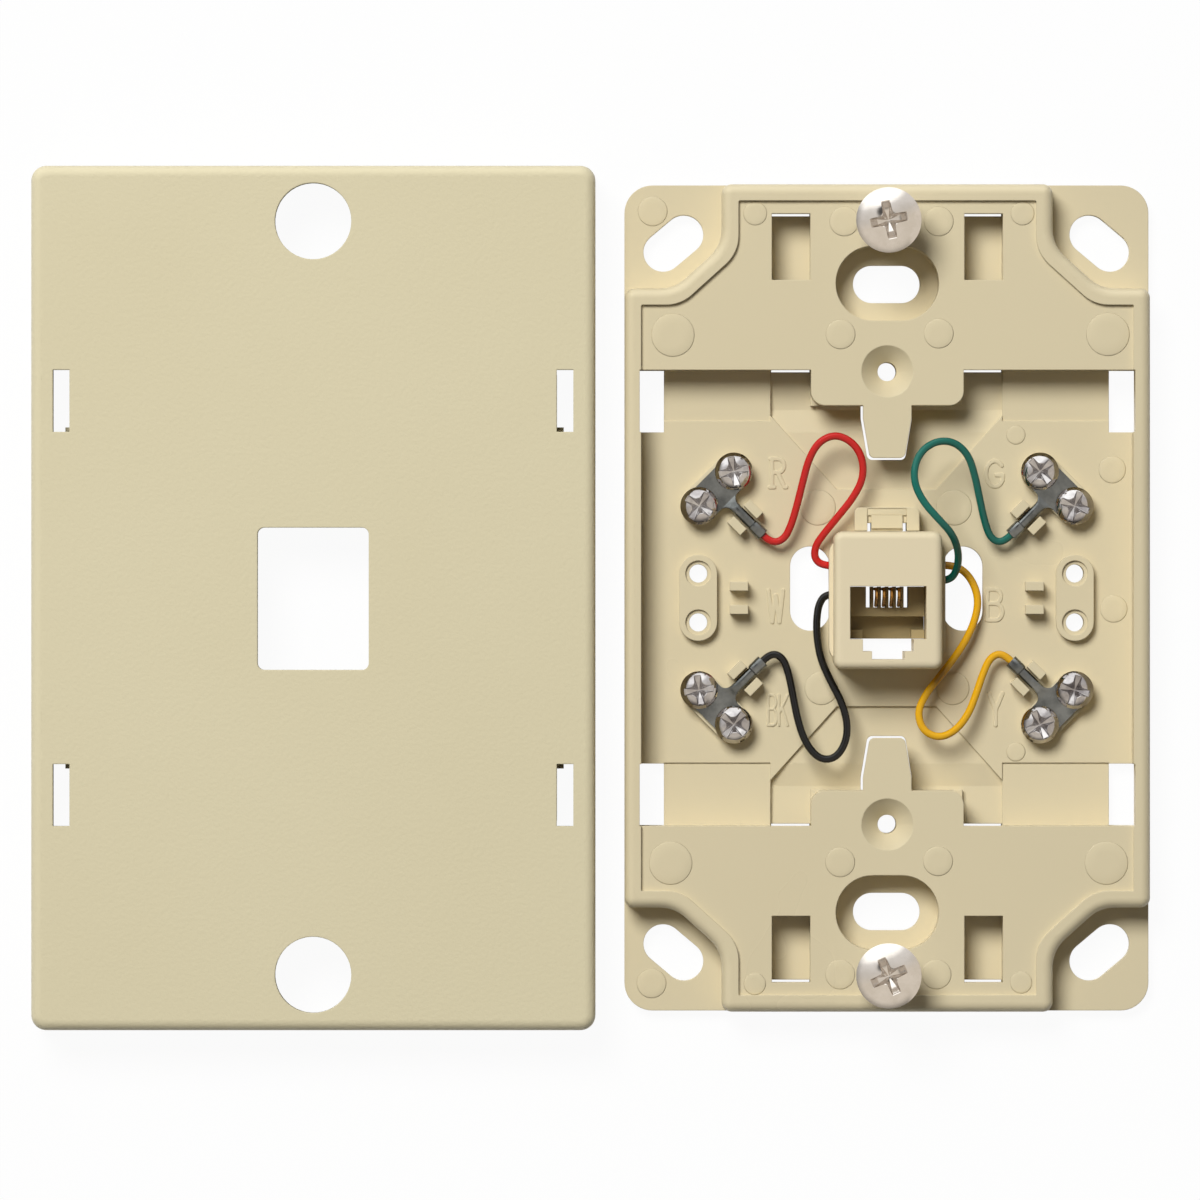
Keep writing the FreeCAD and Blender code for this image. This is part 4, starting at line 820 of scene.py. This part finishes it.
def makeFloor():
    half = studio["floorSize"] / 2
    mesh = bpy.data.meshes.new("studioFloor")
    mesh.from_pydata([(-half, -half, 0), (half, -half, 0), (half, half, 0), (-half, half, 0)], [],
                     [(0, 1, 2, 3)])
    floor = bpy.data.objects.new("studioFloor", mesh)
    bpy.context.scene.collection.objects.link(floor)
    material = bpy.data.materials.new("paleFloor")
    material.use_nodes = True
    tree = material.node_tree
    tree.nodes.clear()
    link = tree.links.new
    out = addNode(tree, "ShaderNodeOutputMaterial")
    plain = addNode(tree, "ShaderNodeBsdfDiffuse")
    plain.inputs["Color"].default_value = (*studio["floorColour"], 1)
    glow = addNode(tree, "ShaderNodeEmission")
    glow.inputs["Color"].default_value = (1, 1, 1, 1)
    rays = addNode(tree, "ShaderNodeLightPath")
    share = addNode(tree, "ShaderNodeMath", operation="MULTIPLY")
    share.inputs[1].default_value = studio["floorWhite"]
    mixed = addNode(tree, "ShaderNodeMixShader")
    link(rays.outputs["Is Camera Ray"], share.inputs[0])
    link(share.outputs["Value"], mixed.inputs["Fac"])
    link(plain.outputs["BSDF"], mixed.inputs[1])
    link(glow.outputs["Emission"], mixed.inputs[2])
    link(mixed.outputs["Shader"], out.inputs["Surface"])
    mesh.materials.append(material)


def makeLamp():
    way = np.array(studio["lampWay"])
    way = way / np.linalg.norm(way)
    data = bpy.data.lights.new("softLamp", "AREA")
    data.shape = "DISK"
    data.size = studio["lampSize"]
    data.energy = studio["lampPower"]
    lamp = bpy.data.objects.new("softLamp", data)
    lamp.visible_glossy = False  # shiny parts mirror the surroundings instead
    lamp.location = np.array(studio["middle"]) + way * studio["lampDistance"]
    lamp.rotation_euler = (math.acos(way[2]), 0, math.atan2(way[1], way[0]) + math.pi / 2)
    bpy.context.scene.collection.objects.link(lamp)


def makeSurroundings():
    # White behind the object and a dim warm fill on it. Shiny parts mirror pale surroundings with a
    # white box on the far side, a dark spot above and a dark horizon on the near left side.
    world = bpy.data.worlds.new("studioSurroundings")
    bpy.context.scene.world = world
    world.use_nodes = True
    tree = world.node_tree
    tree.nodes.clear()
    link = tree.links.new
    rays = addNode(tree, "ShaderNodeLightPath")
    direction = addNode(tree, "ShaderNodeTexCoord")

    def alignedWith(way):
        # 1 where a ray goes the given way, 0 square to it
        aligned = addNode(tree, "ShaderNodeVectorMath", operation="DOT_PRODUCT")
        aligned.inputs[1].default_value = np.array(way) / np.linalg.norm(way)
        link(direction.outputs["Generated"], aligned.inputs[0])
        return aligned.outputs["Value"]

    def softStep(value, start, end, first, last):
        return addRange(tree, value, start, end, first, last, "SMOOTHSTEP")

    ceiling = addNode(tree, "ShaderNodeValToRGB")
    stops = ceiling.color_ramp.elements
    while len(stops) < len(studio["ceilingColours"]):
        stops.new(0.5)
    for stop, (place, colour) in zip(stops, studio["ceilingColours"]):
        stop.position = place
        stop.color = (*colour, 1)
    link(alignedWith(studio["ceilingWay"]), ceiling.inputs["Fac"])
    narrow, wide = [math.cos(math.radians(angle)) for angle in studio["spotAngle"]]
    spot = softStep(alignedWith(studio["spotWay"]), wide, narrow, 1.0, studio["spotDark"])
    brightSide = softStep(alignedWith(studio["darkWay"]), *studio["darkSide"], 1.0, 0.0)
    height = softStep(alignedWith((0, 0, 1)), *studio["darkHeight"], studio["darkLevel"], 1.0)
    horizon = addNode(tree, "ShaderNodeMath", operation="MAXIMUM")
    link(brightSide, horizon.inputs[0])
    link(height, horizon.inputs[1])
    level = addNode(tree, "ShaderNodeMath", operation="MULTIPLY")
    link(spot, level.inputs[0])
    link(horizon.outputs["Value"], level.inputs[1])
    strong = addNode(tree, "ShaderNodeMath", operation="MULTIPLY")
    strong.inputs[1].default_value = studio["ceiling"]
    link(level.outputs["Value"], strong.inputs[0])
    mirrored = addNode(tree, "ShaderNodeVectorMath", operation="SCALE")
    link(ceiling.outputs["Color"], mirrored.inputs["Vector"])
    link(strong.outputs["Value"], mirrored.inputs["Scale"])
    onObject = addNode(tree, "ShaderNodeMix", data_type="RGBA")
    onObject.inputs["A"].default_value = (*studio["skyFill"], 1)
    link(rays.outputs["Is Glossy Ray"], onObject.inputs["Factor"])
    link(mirrored.outputs["Vector"], onObject.inputs["B"])
    seen = addNode(tree, "ShaderNodeMath", operation="MAXIMUM")
    link(rays.outputs["Is Camera Ray"], seen.inputs[0])
    link(rays.outputs["Is Transmission Ray"], seen.inputs[1])
    shown = addNode(tree, "ShaderNodeMix", data_type="RGBA")
    shown.inputs["B"].default_value = (1, 1, 1, 1)
    link(seen.outputs["Value"], shown.inputs["Factor"])
    link(onObject.outputs["Result"], shown.inputs["A"])
    background = addNode(tree, "ShaderNodeBackground")
    background.inputs["Strength"].default_value = 1.0
    link(shown.outputs["Result"], background.inputs["Color"])
    out = addNode(tree, "ShaderNodeOutputWorld")
    link(background.outputs["Background"], out.inputs["Surface"])


makeFloor()
makeLamp()
makeSurroundings()
bpy.context.scene.view_settings.view_transform = "Standard"
print("floor, lamp and surroundings set")
